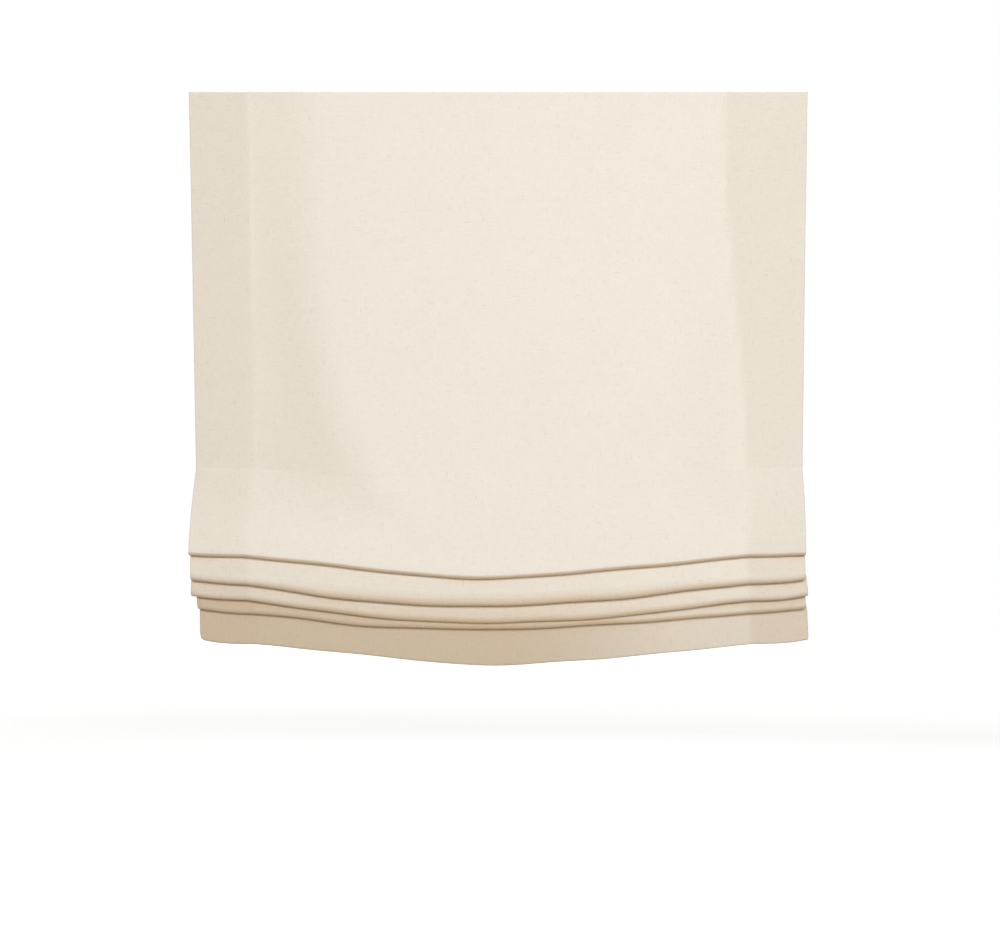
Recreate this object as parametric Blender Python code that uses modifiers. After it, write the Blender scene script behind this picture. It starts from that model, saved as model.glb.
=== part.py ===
"""Relaxed roman shade with a cordless spring lift, raised part of the way.

Metres, +Z up. The origin is the centre of the mounting board's back face, which lies
on the wall. +X is to the right seen from the room, and the cloth faces -Y.
"""

import math

import bmesh
import bpy
from mathutils import Matrix, Vector

# Air between two pieces that touch
GAP = 0.0003

# Face cloth and lining
SHADE_WIDTH = 0.914
CLOTH_THICKNESS = 0.0009
LINING_THICKNESS = 0.0005
SIDE_HEM = 0.085
HEM_AIR = 0.0005
BOTTOM_HEM = 0.060
BOTTOM_HEM_RADIUS = 0.0031
LINING_INSET = 0.020
LINING_SHORT = 0.012
CLOTH_ABOVE_BOARD = 0.001

# Where the cloth is gathered: the panel's drop from its top edge, and each row's fall below it
RING_INSET = 0.081
RING_PITCH = 0.2286
PANEL_DROP = 0.5572
GATHER_FALLS = (0.0546, 0.0807, 0.0955, 0.1103)
SKIRT_LENGTH = 0.149

# How far each gather line, the panel's own first, sags at the middle and rises at the edges,
# and how much more cloth than a ring pitch each loop holds at the middle
MIDDLE_SAGS = (0.0218, 0.0290, 0.0290, 0.0290, 0.0290)
MIDDLE_SLIPS = (0.0080, 0.0046, 0.0052, -0.0082)
EDGE_RISES = (0.0, 0.0044, 0.0074, 0.0060, 0.0070)
SAG_ROUNDING = 0.25
CREASE_FADE = 0.130

# How far the left and right edges stand in, at the top, the crease, each loop and the skirt
LEFT_EDGE_INS = (0.0, 0.0098, 0.0039, 0.0064, 0.0058, 0.0140, 0.0165)
RIGHT_EDGE_INS = (0.0, 0.0068, 0.0070, 0.0074, 0.0020, 0.0046, -0.0015)

# Section of the loops
LOOP_RADIUS = 0.0036
LOOP_AIR = 0.0006
SKIRT_STANDOFF = 0.004
FIRST_SHOULDER = 0.092
FIRST_SHOULDER_POWER = 1.6
SHOULDER_RATIO = 1.2
SHOULDER_RUN = 0.006
SHOULDER_POWER = 3
BELLY_POWER = 9

# Rows down the cloth and columns across it
PANEL_ROWS = 3
SHOULDER_ROWS = (0.0, 0.14, 0.42, 1.0)
TURN_STEPS = 3
GATHER_STEPS = 2
INNER_COLUMNS = 4
COLUMN_CROWDING = 1.25

# Mounting board and its tapes
BOARD_INSET = 0.006
BOARD_DEPTH = 0.064
BOARD_THICKNESS = 0.019
TAPE_THICKNESS = 0.0015
TAPE_HEIGHT = 0.016
TAPE_INSET = 0.004

# Wall brackets
BRACKET_TO_CRADLE = 0.0316
BRACKET_WIDTH = 0.025
BRACKET_THICKNESS = 0.003
BRACKET_REACH = 0.056
BRACKET_LEG = 0.075
BRACKET_BEND = 0.004
BRACKET_HOLE_SPACING = 0.026
BRACKET_HOLE_END = 0.014
WALL_HOLE_RADIUS = 0.00225

# Wood screws
SCREW_LENGTH = 0.015
SCREW_RADIUS = 0.002
SCREW_HEAD_RADIUS = 0.004
SCREW_HEAD_HEIGHT = 0.0024
SCREW_POINT = 0.004
HOLE_CLEARANCE = 0.00025

# Lift shaft
SHAFT_DROP = 0.018
SHAFT_SETBACK = 0.043
SHAFT_FLATS = 0.006
SHAFT_OVERHANG = 0.034
COLLAR_RADIUS = 0.007
COLLAR_LENGTH = 0.008

# Lift spools, their wound cord and their cradles
CORD_RADIUS = 0.0007
SPOOL_BARREL_RADIUS = 0.0098
SPOOL_FLANGE_RADIUS = 0.0145
SPOOL_FLANGE = 0.0016
SPOOL_WIDTH = 0.028
SPOOL_HUB_RADIUS = 0.0055
HUB_STANDS_OUT = 0.002
WOUND_WIDTH = 0.0196
WOUND_RIDGES = 4
CRADLE_SHEET = 0.0020
CRADLE_DEPTH = 0.026
CRADLE_FOOT = 0.014
CRADLE_LIP = 0.007

# Spring motor
MOTOR_WIDTH = 0.030
MOTOR_SHEET = 0.0025
MOTOR_FRONT = 0.017
MOTOR_BACK = 0.015
MOTOR_BELOW = 0.017
MOTOR_EAR = 0.016
DRUM_SPACING = 0.026
OUTPUT_BARREL_RADIUS = 0.0075
OUTPUT_FLANGE_RADIUS = 0.0135
STORAGE_BARREL_RADIUS = 0.0060
STORAGE_FLANGE_RADIUS = 0.0115
STORAGE_HUB_RADIUS = 0.0035
DRUM_FLANGE = 0.0015
OUTPUT_COIL = 0.0015
STORAGE_COIL = 0.0030
BAND_THICKNESS = 0.0006

# Rings, orbs and spreader bar
RING_OUTER_RADIUS = 0.0065
RING_WIRE_RADIUS = 0.0008
ORB_RADIUS = 0.006
CORD_TAIL = 0.012
BAR_RADIUS = 0.003
CAP_RADIUS = 0.0042
CAP_LENGTH = 0.020
CAP_SOCKET = 0.008

# Sides of round pieces
ROUND_SIDES = 14
BEARING_SIDES = 16
COIL_SIDES = 18
SCREW_SIDES = 8
SCREW_HOLE_SIDES = 8
WALL_HOLE_SIDES = 12
RING_SIDES = 10
RING_WIRE_SIDES = 4
CORD_HOLE_SIDES = 10
ORB_BANDS = 4

# Places that follow from the sizes above
BOARD_TOP = BOARD_THICKNESS / 2
BOARD_UNDERSIDE = -BOARD_THICKNESS / 2
BOARD_FRONT = -BOARD_DEPTH
CLOTH_TOP = BOARD_TOP + CLOTH_ABOVE_BOARD
HALF_WIDTH = SHADE_WIDTH / 2
RING_X = HALF_WIDTH - RING_INSET
CRADLE_INNER = SPOOL_WIDTH / 2 + SPOOL_FLANGE + GAP
CRADLE_OUTER = CRADLE_INNER + CRADLE_SHEET
CRADLE_HALF = CRADLE_OUTER + CRADLE_FOOT
BRACKET_X = RING_X - CRADLE_HALF - BRACKET_TO_CRADLE - BRACKET_WIDTH / 2
HEM_OFFSET = CLOTH_THICKNESS + HEM_AIR
LINING_OFFSET = HEM_OFFSET + CLOTH_THICKNESS / 2 + GAP + LINING_THICKNESS / 2
CLOTH_BACK = LINING_OFFSET + LINING_THICKNESS / 2
LAYER_PITCH = CLOTH_THICKNESS + LOOP_AIR
SHAFT_Z = BOARD_UNDERSIDE - SHAFT_DROP
SHAFT_Y = -SHAFT_SETBACK
WOUND_RADIUS = SPOOL_BARREL_RADIUS + GAP + 2 * CORD_RADIUS
CORD_Y = SHAFT_Y - WOUND_RADIUS - GAP - CORD_RADIUS
GATHER_Y = CORD_Y - RING_OUTER_RADIUS - GAP - CLOTH_BACK - LAYER_PITCH / 2
HOOK_TAPE_Y = BOARD_FRONT - GAP - TAPE_THICKNESS / 2
LOOP_TAPE_Y = HOOK_TAPE_Y - TAPE_THICKNESS - GAP
PANEL_Y = LOOP_TAPE_Y - TAPE_THICKNESS / 2 - GAP - CLOTH_BACK
STORAGE_Y = SHAFT_Y + DRUM_SPACING
TAPE_EDGE = -TAPE_HEIGHT / 2 - GAP
GATHER_DROPS = tuple(PANEL_DROP + fall for fall in GATHER_FALLS)
LOOPS = len(GATHER_DROPS)
GATHERED_RINGS = tuple(CLOTH_TOP - drop for drop in GATHER_DROPS)
PANEL_RINGS = tuple(
    CLOTH_TOP - PANEL_DROP + RING_PITCH * row
    for row in range(int(PANEL_DROP / RING_PITCH) + 1)
)


def clear_scene():
    for obj in list(bpy.data.objects):
        bpy.data.objects.remove(obj, do_unlink=True)


def new_collection(name, hidden=False):
    collection = bpy.data.collections.new(name)
    bpy.context.scene.collection.children.link(collection)
    collection.hide_render = hidden
    return collection


clear_scene()
SHADE = new_collection("roman_shade")
CUTTERS = new_collection("cutters", hidden=True)


def material(name, color, roughness, metallic=0.0):
    made = bpy.data.materials.new(name)
    made.use_nodes = True
    shader = made.node_tree.nodes["Principled BSDF"]
    shader.inputs["Base Color"].default_value = (*color, 1.0)
    shader.inputs["Roughness"].default_value = roughness
    shader.inputs["Metallic"].default_value = metallic
    return made


LINEN = material("natural_linen", (0.83, 0.77, 0.66), 0.9)
LINING_CLOTH = material("lining_cotton", (0.88, 0.86, 0.81), 0.9)
PINE = material("primed_board", (0.80, 0.76, 0.68), 0.6)
TAPE = material("nylon_tape", (0.85, 0.84, 0.80), 0.85)
ZINC_STEEL = material("zinc_plated_steel", (0.60, 0.60, 0.58), 0.35, 1.0)
SPRING_STEEL = material("spring_steel", (0.45, 0.46, 0.48), 0.25, 1.0)
WHITE_PLASTIC = material("white_acetal", (0.86, 0.86, 0.84), 0.4)
GREY_PLASTIC = material("grey_nylon", (0.42, 0.43, 0.44), 0.5)
CLEAR_RING = material("ring_plastic", (0.90, 0.90, 0.88), 0.3)
ALUMINIUM = material("aluminium_rod", (0.75, 0.76, 0.77), 0.35, 1.0)
CORD = material("lift_cord", (0.92, 0.91, 0.88), 0.8)


def finish(obj, name, finish_material, smooth_angle=None):
    """Names the object, gives it its material and puts it in the shade's collection."""
    obj.name = name
    obj.data.name = name
    obj.data.materials.clear()
    obj.data.materials.append(finish_material)
    for collection in list(obj.users_collection):
        collection.objects.unlink(obj)
    SHADE.objects.link(obj)
    if smooth_angle is not None:
        obj.data.shade_smooth()
        obj.data.set_sharp_from_angle(angle=smooth_angle)
    return obj


def as_cutter(obj):
    for collection in list(obj.users_collection):
        collection.objects.unlink(obj)
    CUTTERS.objects.link(obj)
    obj.hide_render = True
    obj.display_type = "WIRE"
    return obj


def combine(obj, other, operation="DIFFERENCE"):
    modifier = obj.modifiers.new(operation.lower(), "BOOLEAN")
    modifier.operation = operation
    modifier.object = as_cutter(other)


def box(low, high):
    """A box primitive between two corners, with its scale applied."""
    low = Vector(low)
    high = Vector(high)
    bpy.ops.mesh.primitive_cube_add(size=1, location=(low + high) / 2)
    obj = bpy.context.object
    obj.data.transform(Matrix.Diagonal((*(high - low), 1)))
    return obj


def cylinder(radius, start, end, sides=16):
    """A cylinder primitive whose axis runs from start to end."""
    start = Vector(start)
    run = Vector(end) - start
    bpy.ops.mesh.primitive_cylinder_add(
        vertices=sides,
        radius=radius,
        depth=run.length,
        location=start + run / 2,
    )
    obj = bpy.context.object
    obj.rotation_mode = "QUATERNION"
    obj.rotation_quaternion = Vector((0, 0, 1)).rotation_difference(run)
    return obj


def turned(profile, sides):
    """A solid turned about Z from (radius, height) points, listed from top to bottom."""
    mesh = bpy.data.meshes.new("profile")
    points = [(radius, 0, height) for radius, height in profile]
    mesh.from_pydata(points, [(i, i + 1) for i in range(len(points) - 1)], [])
    obj = bpy.data.objects.new("profile", mesh)
    bpy.context.scene.collection.objects.link(obj)
    screw = obj.modifiers.new("turn", "SCREW")
    screw.steps = sides
    screw.render_steps = sides
    screw.use_merge_vertices = True
    screw.merge_threshold = 0.00001
    return obj


def lie_along_x(obj, x=0.0, y=0.0, z=0.0):
    """Turns an object made about Z so that its axis is X, and places it."""
    obj.rotation_euler = (0, math.pi / 2, 0)
    obj.location = (x, y, z)
    return obj


def blend(low, high, share):
    return low + (high - low) * share


def smooth(share):
    share = min(max(share, 0.0), 1.0)
    return share * share * (3 - 2 * share)


# The cloth's section at one place across its width is a list of (y, z, back_y, back_z)
# stations along the cloth, where back is the unit direction towards the cloth's back.


class Section:
    """The fall of the face cloth, from the top edge to the hem, at one place across."""

    def __init__(self, x):
        across = abs(x) / RING_X
        if across < 1:
            dip = math.hypot(across, SAG_ROUNDING) - SAG_ROUNDING
            self.sag = 1 - dip / (math.hypot(1, SAG_ROUNDING) - SAG_ROUNDING)
            outward = 0.0
        else:
            self.sag = 0.0
            outward = (abs(x) - RING_X) / RING_INSET
        self.fullness = smooth((RING_X - abs(x)) / CREASE_FADE)
        drops = (PANEL_DROP, *GATHER_DROPS)
        self.gathers = [
            CLOTH_TOP - drop - self.sag * sag + outward**2 * rise
            for drop, sag, rise in zip(drops, MIDDLE_SAGS, EDGE_RISES)
        ]

    @staticmethod
    def depth(loop):
        """How far a loop's front, or the skirt's after the last loop, is from the gathers."""
        return SKIRT_STANDOFF + (LOOPS - loop) * (2 * LOOP_RADIUS + LAYER_PITCH)

    def reach(self, loop):
        """How far below its gather a loop's front hangs straight."""
        if loop == 0:
            return FIRST_SHOULDER
        return SHOULDER_RATIO * self.depth(loop) + SHOULDER_RUN

    def fold_line(self, loop, z):
        """(y, dy/dz) of the line that a loop's front shares with the back of the one before."""
        depth = self.depth(loop)
        reach = self.reach(loop)
        power = SHOULDER_POWER if loop else FIRST_SHOULDER_POWER
        left = 1 - min(max((self.gathers[loop] - z) / reach, 0.0), 1.0)
        y = GATHER_Y - depth * (1 - left**power)
        return y, power * depth * left ** (power - 1) / reach

    def beside(self, loop, z, outer):
        """A station beside the fold line: on the loop's own front, or outer, on the back before it."""
        y, slope = self.fold_line(loop, z)
        length = math.hypot(1, slope)
        front = (-1 / length, slope / length)
        side = LAYER_PITCH / 2 if outer else -LAYER_PITCH / 2
        face = 1 if outer else -1
        return (y + side * front[0], z + side * front[1], face * front[0], face * front[1])

    def panel_y(self, z):
        """The panel and the first loop's front, creased at the rings and full at the middle."""
        crease = self.gathers[0]
        reach = self.reach(0)
        full_y = self.beside(0, crease - reach, False)[0]
        if z >= crease:
            above = 1 - max(TAPE_EDGE - z, 0) / (TAPE_EDGE - crease)
            start = self.beside(0, crease, False)[0]
            creased_y = blend(start, PANEL_Y, above**3)
        else:
            creased_y = self.beside(0, z, False)[0]
        fall = max(TAPE_EDGE - z, 0) / (TAPE_EDGE - crease + reach)
        fall = min(fall, 1.0)
        belly = fall**BELLY_POWER * (BELLY_POWER + 1 - BELLY_POWER * fall)
        round_y = blend(PANEL_Y, full_y, belly)
        return blend(creased_y, round_y, self.fullness)

    def panel_station(self, z):
        step = 0.002
        high = min(z + step, CLOTH_TOP)
        slope = (self.panel_y(high) - self.panel_y(z - step)) / (high - z + step)
        length = math.hypot(1, slope)
        return (self.panel_y(z), z, 1 / length, -slope / length)

    def shoulder_heights(self, loop):
        return [self.gathers[loop] - self.reach(loop) * share for share in SHOULDER_ROWS]

    def front(self, loop, bottom):
        """Stations down a loop's front, over its shoulder and straight down."""
        heights = [*self.shoulder_heights(loop), bottom]
        if loop == 0:
            return [self.panel_station(z) for z in heights]
        return [self.beside(loop, z, False) for z in heights]

    def back(self, loop, bottom):
        """Stations up the back of the loop before, to the gather that it shares."""
        heights = [bottom, *reversed(self.shoulder_heights(loop))]
        return [self.beside(loop, z, True) for z in heights]

    def turn(self, y, z, radius, start, end, steps):
        """Stations round a half turn about (y, z), left out at both its ends."""
        stations = []
        for step in range(1, steps):
            angle = blend(start, end, step / steps)
            away = (math.cos(angle), math.sin(angle))
            inward = -1 if radius > 0 else 1
            size = abs(radius)
            stations.append(
                (y + size * away[0], z + size * away[1], inward * away[0], inward * away[1])
            )
        return stations

    def gather_turn(self, loop):
        """The tight turn at a ring, whose back faces outwards."""
        y, slope = self.fold_line(loop, self.gathers[loop])
        start = math.atan2(slope, -1)
        end = start - math.pi
        return self.turn(y, self.gathers[loop], -LAYER_PITCH / 2, start, end, GATHER_STEPS)

    def loop_stations(self, loop, bottom):
        """One loop, from its own gather down round its bottom and up to the next."""
        centre_z = bottom + LOOP_RADIUS
        stations = self.front(loop, centre_z)
        centre_y = stations[-1][0] + LOOP_RADIUS
        stations += self.turn(centre_y, centre_z, LOOP_RADIUS, math.pi, 2 * math.pi, TURN_STEPS)
        stations += self.back(loop + 1, centre_z)
        stations += self.gather_turn(loop + 1)
        return stations

    def hang(self, loop):
        """The height of a loop's bottom, at which it holds its length of cloth."""
        length = RING_PITCH + self.sag * MIDDLE_SLIPS[loop]
        low = self.gathers[loop + 1] - RING_PITCH
        high = self.gathers[loop + 1]
        for _ in range(24):
            middle = (low + high) / 2
            if run_length(self.loop_stations(loop, middle)) > length:
                low = middle
            else:
                high = middle
        return (low + high) / 2

    def hem_stations(self, y, z):
        """The turned-up hem, round the bottom edge from (y, z) and up behind the skirt."""
        centre_y = y + BOTTOM_HEM_RADIUS
        stations = self.turn(
            centre_y, z, BOTTOM_HEM_RADIUS, math.pi, 2 * math.pi, TURN_STEPS
        )
        back_y = centre_y + BOTTOM_HEM_RADIUS
        return [*stations, (back_y, z, -1.0, 0.0), (back_y, z + BOTTOM_HEM, -1.0, 0.0)]


def run_length(stations):
    return sum(math.dist(a[:2], b[:2]) for a, b in zip(stations, stations[1:]))


def cloth_stations(x, lining=False):
    """All stations down the cloth at x, and the level of each: 0 at the top, 1 at the
    crease, then one more at the bottom of each loop and of the skirt."""
    section = Section(x)
    heights = [CLOTH_TOP]
    heights += [blend(TAPE_EDGE, section.gathers[0], row / PANEL_ROWS) for row in range(PANEL_ROWS)]
    stations = [section.panel_station(z) for z in heights]
    levels = [(CLOTH_TOP - z) / (CLOTH_TOP - section.gathers[0]) for z in heights]
    for loop in range(LOOPS):
        part = section.loop_stations(loop, section.hang(loop))
        stations += part
        levels += [min(loop + 1 + 2 * step / len(part), loop + 2) for step in range(len(part))]
    bottom = section.gathers[LOOPS] - SKIRT_LENGTH + BOTTOM_HEM_RADIUS
    part = section.front(LOOPS, bottom + (LINING_SHORT if lining else 0))
    if not lining:
        part += section.hem_stations(*part[-1][:2])
    stations += part
    levels += [min(LOOPS + 1 + 2 * step / len(part), LOOPS + 2) for step in range(len(part))]
    return stations, levels


def edge_shift(x, level):
    """How far sideways the cloth moves at x, where its edges stand in."""
    index = min(int(level), len(LEFT_EDGE_INS) - 2)
    share = level - index
    left = blend(LEFT_EDGE_INS[index], LEFT_EDGE_INS[index + 1], share)
    right = blend(RIGHT_EDGE_INS[index], RIGHT_EDGE_INS[index + 1], share)
    across = (x + HALF_WIDTH) / SHADE_WIDTH
    return blend(left, -right, across)


def grid(name, columns, rows, place):
    """A grid primitive, each vertex moved to place(column, row)."""
    bpy.ops.mesh.primitive_grid_add(x_subdivisions=columns - 1, y_subdivisions=rows - 1, size=1)
    obj = bpy.context.object
    obj.name = name
    for vertex in obj.data.vertices:
        column = round((vertex.co.x + 0.5) * (columns - 1))
        row = round((0.5 - vertex.co.y) * (rows - 1))
        vertex.co = place(column, row)
    return obj


def thicken(obj, thickness):
    solidify = obj.modifiers.new("thickness", "SOLIDIFY")
    solidify.thickness = thickness
    solidify.offset = 0
    return obj


def inner_columns():
    """Places across the cloth between the side hems' inner edges, close together there."""
    edge = HALF_WIDTH - SIDE_HEM
    right = [edge * (1 - (i / INNER_COLUMNS) ** COLUMN_CROWDING) for i in range(INNER_COLUMNS)]
    return [-place for place in right] + [0.0] + right[::-1]


def face_columns():
    """(x, offset behind the face) across the face and round into both side hems."""
    turn = HEM_OFFSET / 2
    lining_edge = HALF_WIDTH - LINING_INSET
    sides = [HALF_WIDTH - turn, lining_edge]
    front = [-x for x in sides] + inner_columns() + sides[::-1]
    flap = [(x, HEM_OFFSET) for x in (*sides, HALF_WIDTH - SIDE_HEM)]
    right = [(HALF_WIDTH, turn), *flap]
    return [(-x, offset) for x, offset in right[::-1]] + [(x, 0.0) for x in front] + right


def make_cloth(name, columns, lining, thickness, finish_material):
    """Columns are (x, offset behind the face cloth's middle surface)."""
    fall = {}
    for x, _ in columns:
        if x not in fall:
            fall[x] = cloth_stations(x, lining)
    rows = len(fall[columns[0][0]][0])

    def place(column, row):
        x, offset = columns[column]
        stations, levels = fall[x]
        y, z, back_y, back_z = stations[row]
        return (
            x + edge_shift(x, levels[row]),
            y + offset * back_y,
            z + offset * back_z,
        )

    obj = grid(name, len(columns), rows, place)
    thicken(obj, thickness)
    return finish(obj, name, finish_material, math.radians(50))


def make_face_cloth():
    return make_cloth("face_cloth", face_columns(), False, CLOTH_THICKNESS, LINEN)


def make_lining():
    edge = HALF_WIDTH - LINING_INSET
    columns = [(x, LINING_OFFSET) for x in (-edge, *inner_columns(), edge)]
    return make_cloth("lining", columns, True, LINING_THICKNESS, LINING_CLOTH)


def screw_places():
    """(name, x, y, z of the head's seat) of every screw that goes up into the board."""
    places = []
    bracket_seat = BOARD_UNDERSIDE - GAP - BRACKET_THICKNESS
    cradle_seat = BOARD_UNDERSIDE - GAP - CRADLE_SHEET
    motor_seat = BOARD_UNDERSIDE - GAP - MOTOR_SHEET
    cradle_hole = CRADLE_HALF - CRADLE_FOOT / 2
    motor_hole = MOTOR_WIDTH / 2 + MOTOR_EAR / 2
    for side, name in ((-1, "left"), (1, "right")):
        for number, y in enumerate(bracket_holes()):
            places.append((f"board_screw_{name}_{number + 1}", side * BRACKET_X, -y, bracket_seat))
        for number, shift in enumerate((-cradle_hole, cradle_hole)):
            places.append(
                (f"cradle_screw_{name}_{number + 1}", side * RING_X + shift, SHAFT_Y, cradle_seat)
            )
        places.append((f"motor_screw_{name}", side * motor_hole, SHAFT_Y, motor_seat))
    return places


def bracket_holes(leg=BRACKET_REACH):
    """Distances of the two holes of a leg from the bend's outer corner."""
    far = leg - BRACKET_HOLE_END
    return (far - BRACKET_HOLE_SPACING, far)


def make_screws():
    profile = [
        (0, 0),
        (SCREW_HEAD_RADIUS * 0.62, -SCREW_HEAD_HEIGHT * 0.08),
        (SCREW_HEAD_RADIUS, -SCREW_HEAD_HEIGHT * 0.55),
        (SCREW_HEAD_RADIUS, -SCREW_HEAD_HEIGHT),
        (SCREW_RADIUS, -SCREW_HEAD_HEIGHT),
        (SCREW_RADIUS, SCREW_POINT - SCREW_HEAD_HEIGHT - SCREW_LENGTH),
        (0, -SCREW_HEAD_HEIGHT - SCREW_LENGTH),
    ]
    for name, x, y, seat in screw_places():
        screw = turned(profile, SCREW_SIDES)
        screw.rotation_euler = (math.pi, 0, 0)
        screw.location = (x, y, seat - GAP - SCREW_HEAD_HEIGHT)
        finish(screw, name, ZINC_STEEL, math.radians(40))


def make_board():
    board = box(
        (BOARD_INSET - HALF_WIDTH, BOARD_FRONT, BOARD_UNDERSIDE),
        (HALF_WIDTH - BOARD_INSET, 0, BOARD_TOP),
    )
    bevel = board.modifiers.new("eased_edges", "BEVEL")
    bevel.width = 0.001
    bevel.segments = 1
    bevel.limit_method = "ANGLE"
    for _, x, y, seat in screw_places():
        tip = seat + SCREW_LENGTH + GAP
        pilot = cylinder(
            SCREW_RADIUS + HOLE_CLEARANCE,
            (x, y, BOARD_UNDERSIDE - GAP),
            (x, y, tip),
            SCREW_HOLE_SIDES,
        )
        combine(board, pilot)
    return finish(board, "mounting_board", PINE)


def make_tapes():
    half = HALF_WIDTH - BOARD_INSET - TAPE_INSET
    for name, y in (("hook_tape", HOOK_TAPE_Y), ("loop_tape", LOOP_TAPE_Y)):
        tape = box(
            (-half, y - TAPE_THICKNESS / 2, -TAPE_HEIGHT / 2),
            (half, y + TAPE_THICKNESS / 2, TAPE_HEIGHT / 2),
        )
        finish(tape, name, TAPE)


def flat_outline(points, depth):
    """A closed 2D curve through points, extruded to a depth about its own plane."""
    curve = bpy.data.curves.new("outline", "CURVE")
    curve.dimensions = "2D"
    curve.fill_mode = "BOTH"
    curve.extrude = depth / 2
    spline = curve.splines.new("POLY")
    spline.points.add(len(points) - 1)
    for point, (a, b) in zip(spline.points, points):
        point.co = (a, b, 0, 1)
    spline.use_cyclic_u = True
    obj = bpy.data.objects.new("outline", curve)
    bpy.context.scene.collection.objects.link(obj)
    return obj


def meshed(curve_object):
    """A curve object made a closed mesh object at the same place."""
    bpy.context.view_layer.update()
    graph = bpy.context.evaluated_depsgraph_get()
    mesh = bpy.data.meshes.new_from_object(curve_object.evaluated_get(graph))
    shape = bmesh.new()
    shape.from_mesh(mesh)
    bmesh.ops.remove_doubles(shape, verts=shape.verts, dist=0.000001)
    shape.to_mesh(mesh)
    shape.free()
    obj = bpy.data.objects.new("meshed", mesh)
    obj.matrix_world = curve_object.matrix_world
    bpy.context.scene.collection.objects.link(obj)
    bpy.data.objects.remove(curve_object, do_unlink=True)
    return obj


def arc(centre, radius, start, end, steps):
    """Points on an arc, with its angles in degrees."""
    angles = [math.radians(blend(start, end, step / steps)) for step in range(steps + 1)]
    return [
        (centre[0] + radius * math.cos(angle), centre[1] + radius * math.sin(angle))
        for angle in angles
    ]


def make_bracket(side, name):
    """An L of flat steel, its bend in the corner between the wall and the board."""
    top = BOARD_UNDERSIDE - GAP
    inner = BRACKET_BEND
    outer = BRACKET_BEND + BRACKET_THICKNESS
    corner = (-outer, top - outer)
    outline = arc(corner, outer, 0, 90, 4)
    outline += [
        (-BRACKET_REACH, top),
        (-BRACKET_REACH, top - BRACKET_THICKNESS),
    ]
    outline += arc(corner, inner, 90, 0, 4)
    outline += [
        (-BRACKET_THICKNESS, top - BRACKET_LEG),
        (0, top - BRACKET_LEG),
    ]
    curve = flat_outline(outline, BRACKET_WIDTH)
    curve.matrix_world = Matrix(
        ((0, 0, 1, side * BRACKET_X), (1, 0, 0, 0), (0, 1, 0, 0), (0, 0, 0, 1))
    )
    bracket = meshed(curve)
    x = side * BRACKET_X
    past = 2 * BRACKET_THICKNESS
    for reach in bracket_holes():
        hole = cylinder(
            SCREW_RADIUS + HOLE_CLEARANCE,
            (x, -reach, top - past),
            (x, -reach, top + past),
            SCREW_HOLE_SIDES,
        )
        combine(bracket, hole)
    for fall in bracket_holes(BRACKET_LEG):
        z = top - fall
        hole = cylinder(WALL_HOLE_RADIUS, (x, -past, z), (x, past, z), WALL_HOLE_SIDES)
        combine(bracket, hole)
    return finish(bracket, name, ZINC_STEEL)


def hexagon(flats, start, end):
    """A six-sided bar whose upper and lower sides are flat."""
    return cylinder(flats / 2 / math.cos(math.pi / 6), start, end, 6)


def make_shaft():
    half = RING_X + SHAFT_OVERHANG
    shaft = hexagon(SHAFT_FLATS, (-half, SHAFT_Y, SHAFT_Z), (half, SHAFT_Y, SHAFT_Z))
    return finish(shaft, "lift_shaft", ZINC_STEEL)


def bore_for_shaft(obj, x, half_length):
    """Cuts the shaft's six-sided hole, a clearance wider, through a piece at x."""
    cutter = hexagon(
        SHAFT_FLATS + 2 * GAP,
        (x - half_length, SHAFT_Y, SHAFT_Z),
        (x + half_length, SHAFT_Y, SHAFT_Z),
    )
    combine(obj, cutter)


def stepped(steps):
    """A profile from the top down of (half_length, radius) steps, mirrored below."""
    upper = [(0, steps[0][0])]
    for number, (half_length, radius) in enumerate(steps):
        upper.append((radius, half_length))
        if number + 1 < len(steps):
            upper.append((radius, steps[number + 1][0]))
    return upper + [(radius, -height) for radius, height in upper[::-1]]


def make_spool(side, name):
    x = side * RING_X
    profile = stepped(
        (
            (CRADLE_OUTER + HUB_STANDS_OUT, SPOOL_HUB_RADIUS),
            (SPOOL_WIDTH / 2 + SPOOL_FLANGE, SPOOL_FLANGE_RADIUS),
            (SPOOL_WIDTH / 2, SPOOL_BARREL_RADIUS),
        )
    )
    spool = lie_along_x(turned(profile, ROUND_SIDES), x, SHAFT_Y, SHAFT_Z)
    bore_for_shaft(spool, x, CRADLE_HALF)
    return finish(spool, f"lift_spool_{name}", WHITE_PLASTIC, math.radians(40))


def make_wound_cord(side, name):
    """The cord on a spool, from one flange inwards, as a few round ridges."""
    start = SPOOL_WIDTH / 2 - GAP
    pitch = WOUND_WIDTH / WOUND_RIDGES
    inner = SPOOL_BARREL_RADIUS + GAP
    valley = WOUND_RADIUS - CORD_RADIUS / 2
    outer = []
    for ridge in range(WOUND_RIDGES):
        top = start - ridge * pitch
        outer.append((valley, top))
        outer.append((WOUND_RADIUS, top - pitch / 2))
    end = start - WOUND_WIDTH
    profile = [*outer, (valley, end), (inner, end), (inner, start), outer[0]]
    wound = lie_along_x(turned(profile, ROUND_SIDES), side * RING_X, SHAFT_Y, SHAFT_Z)
    weld = wound.modifiers.new("closed", "WELD")
    weld.merge_threshold = 0.00001
    return finish(wound, f"wound_cord_{name}", CORD, math.radians(50))


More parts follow.
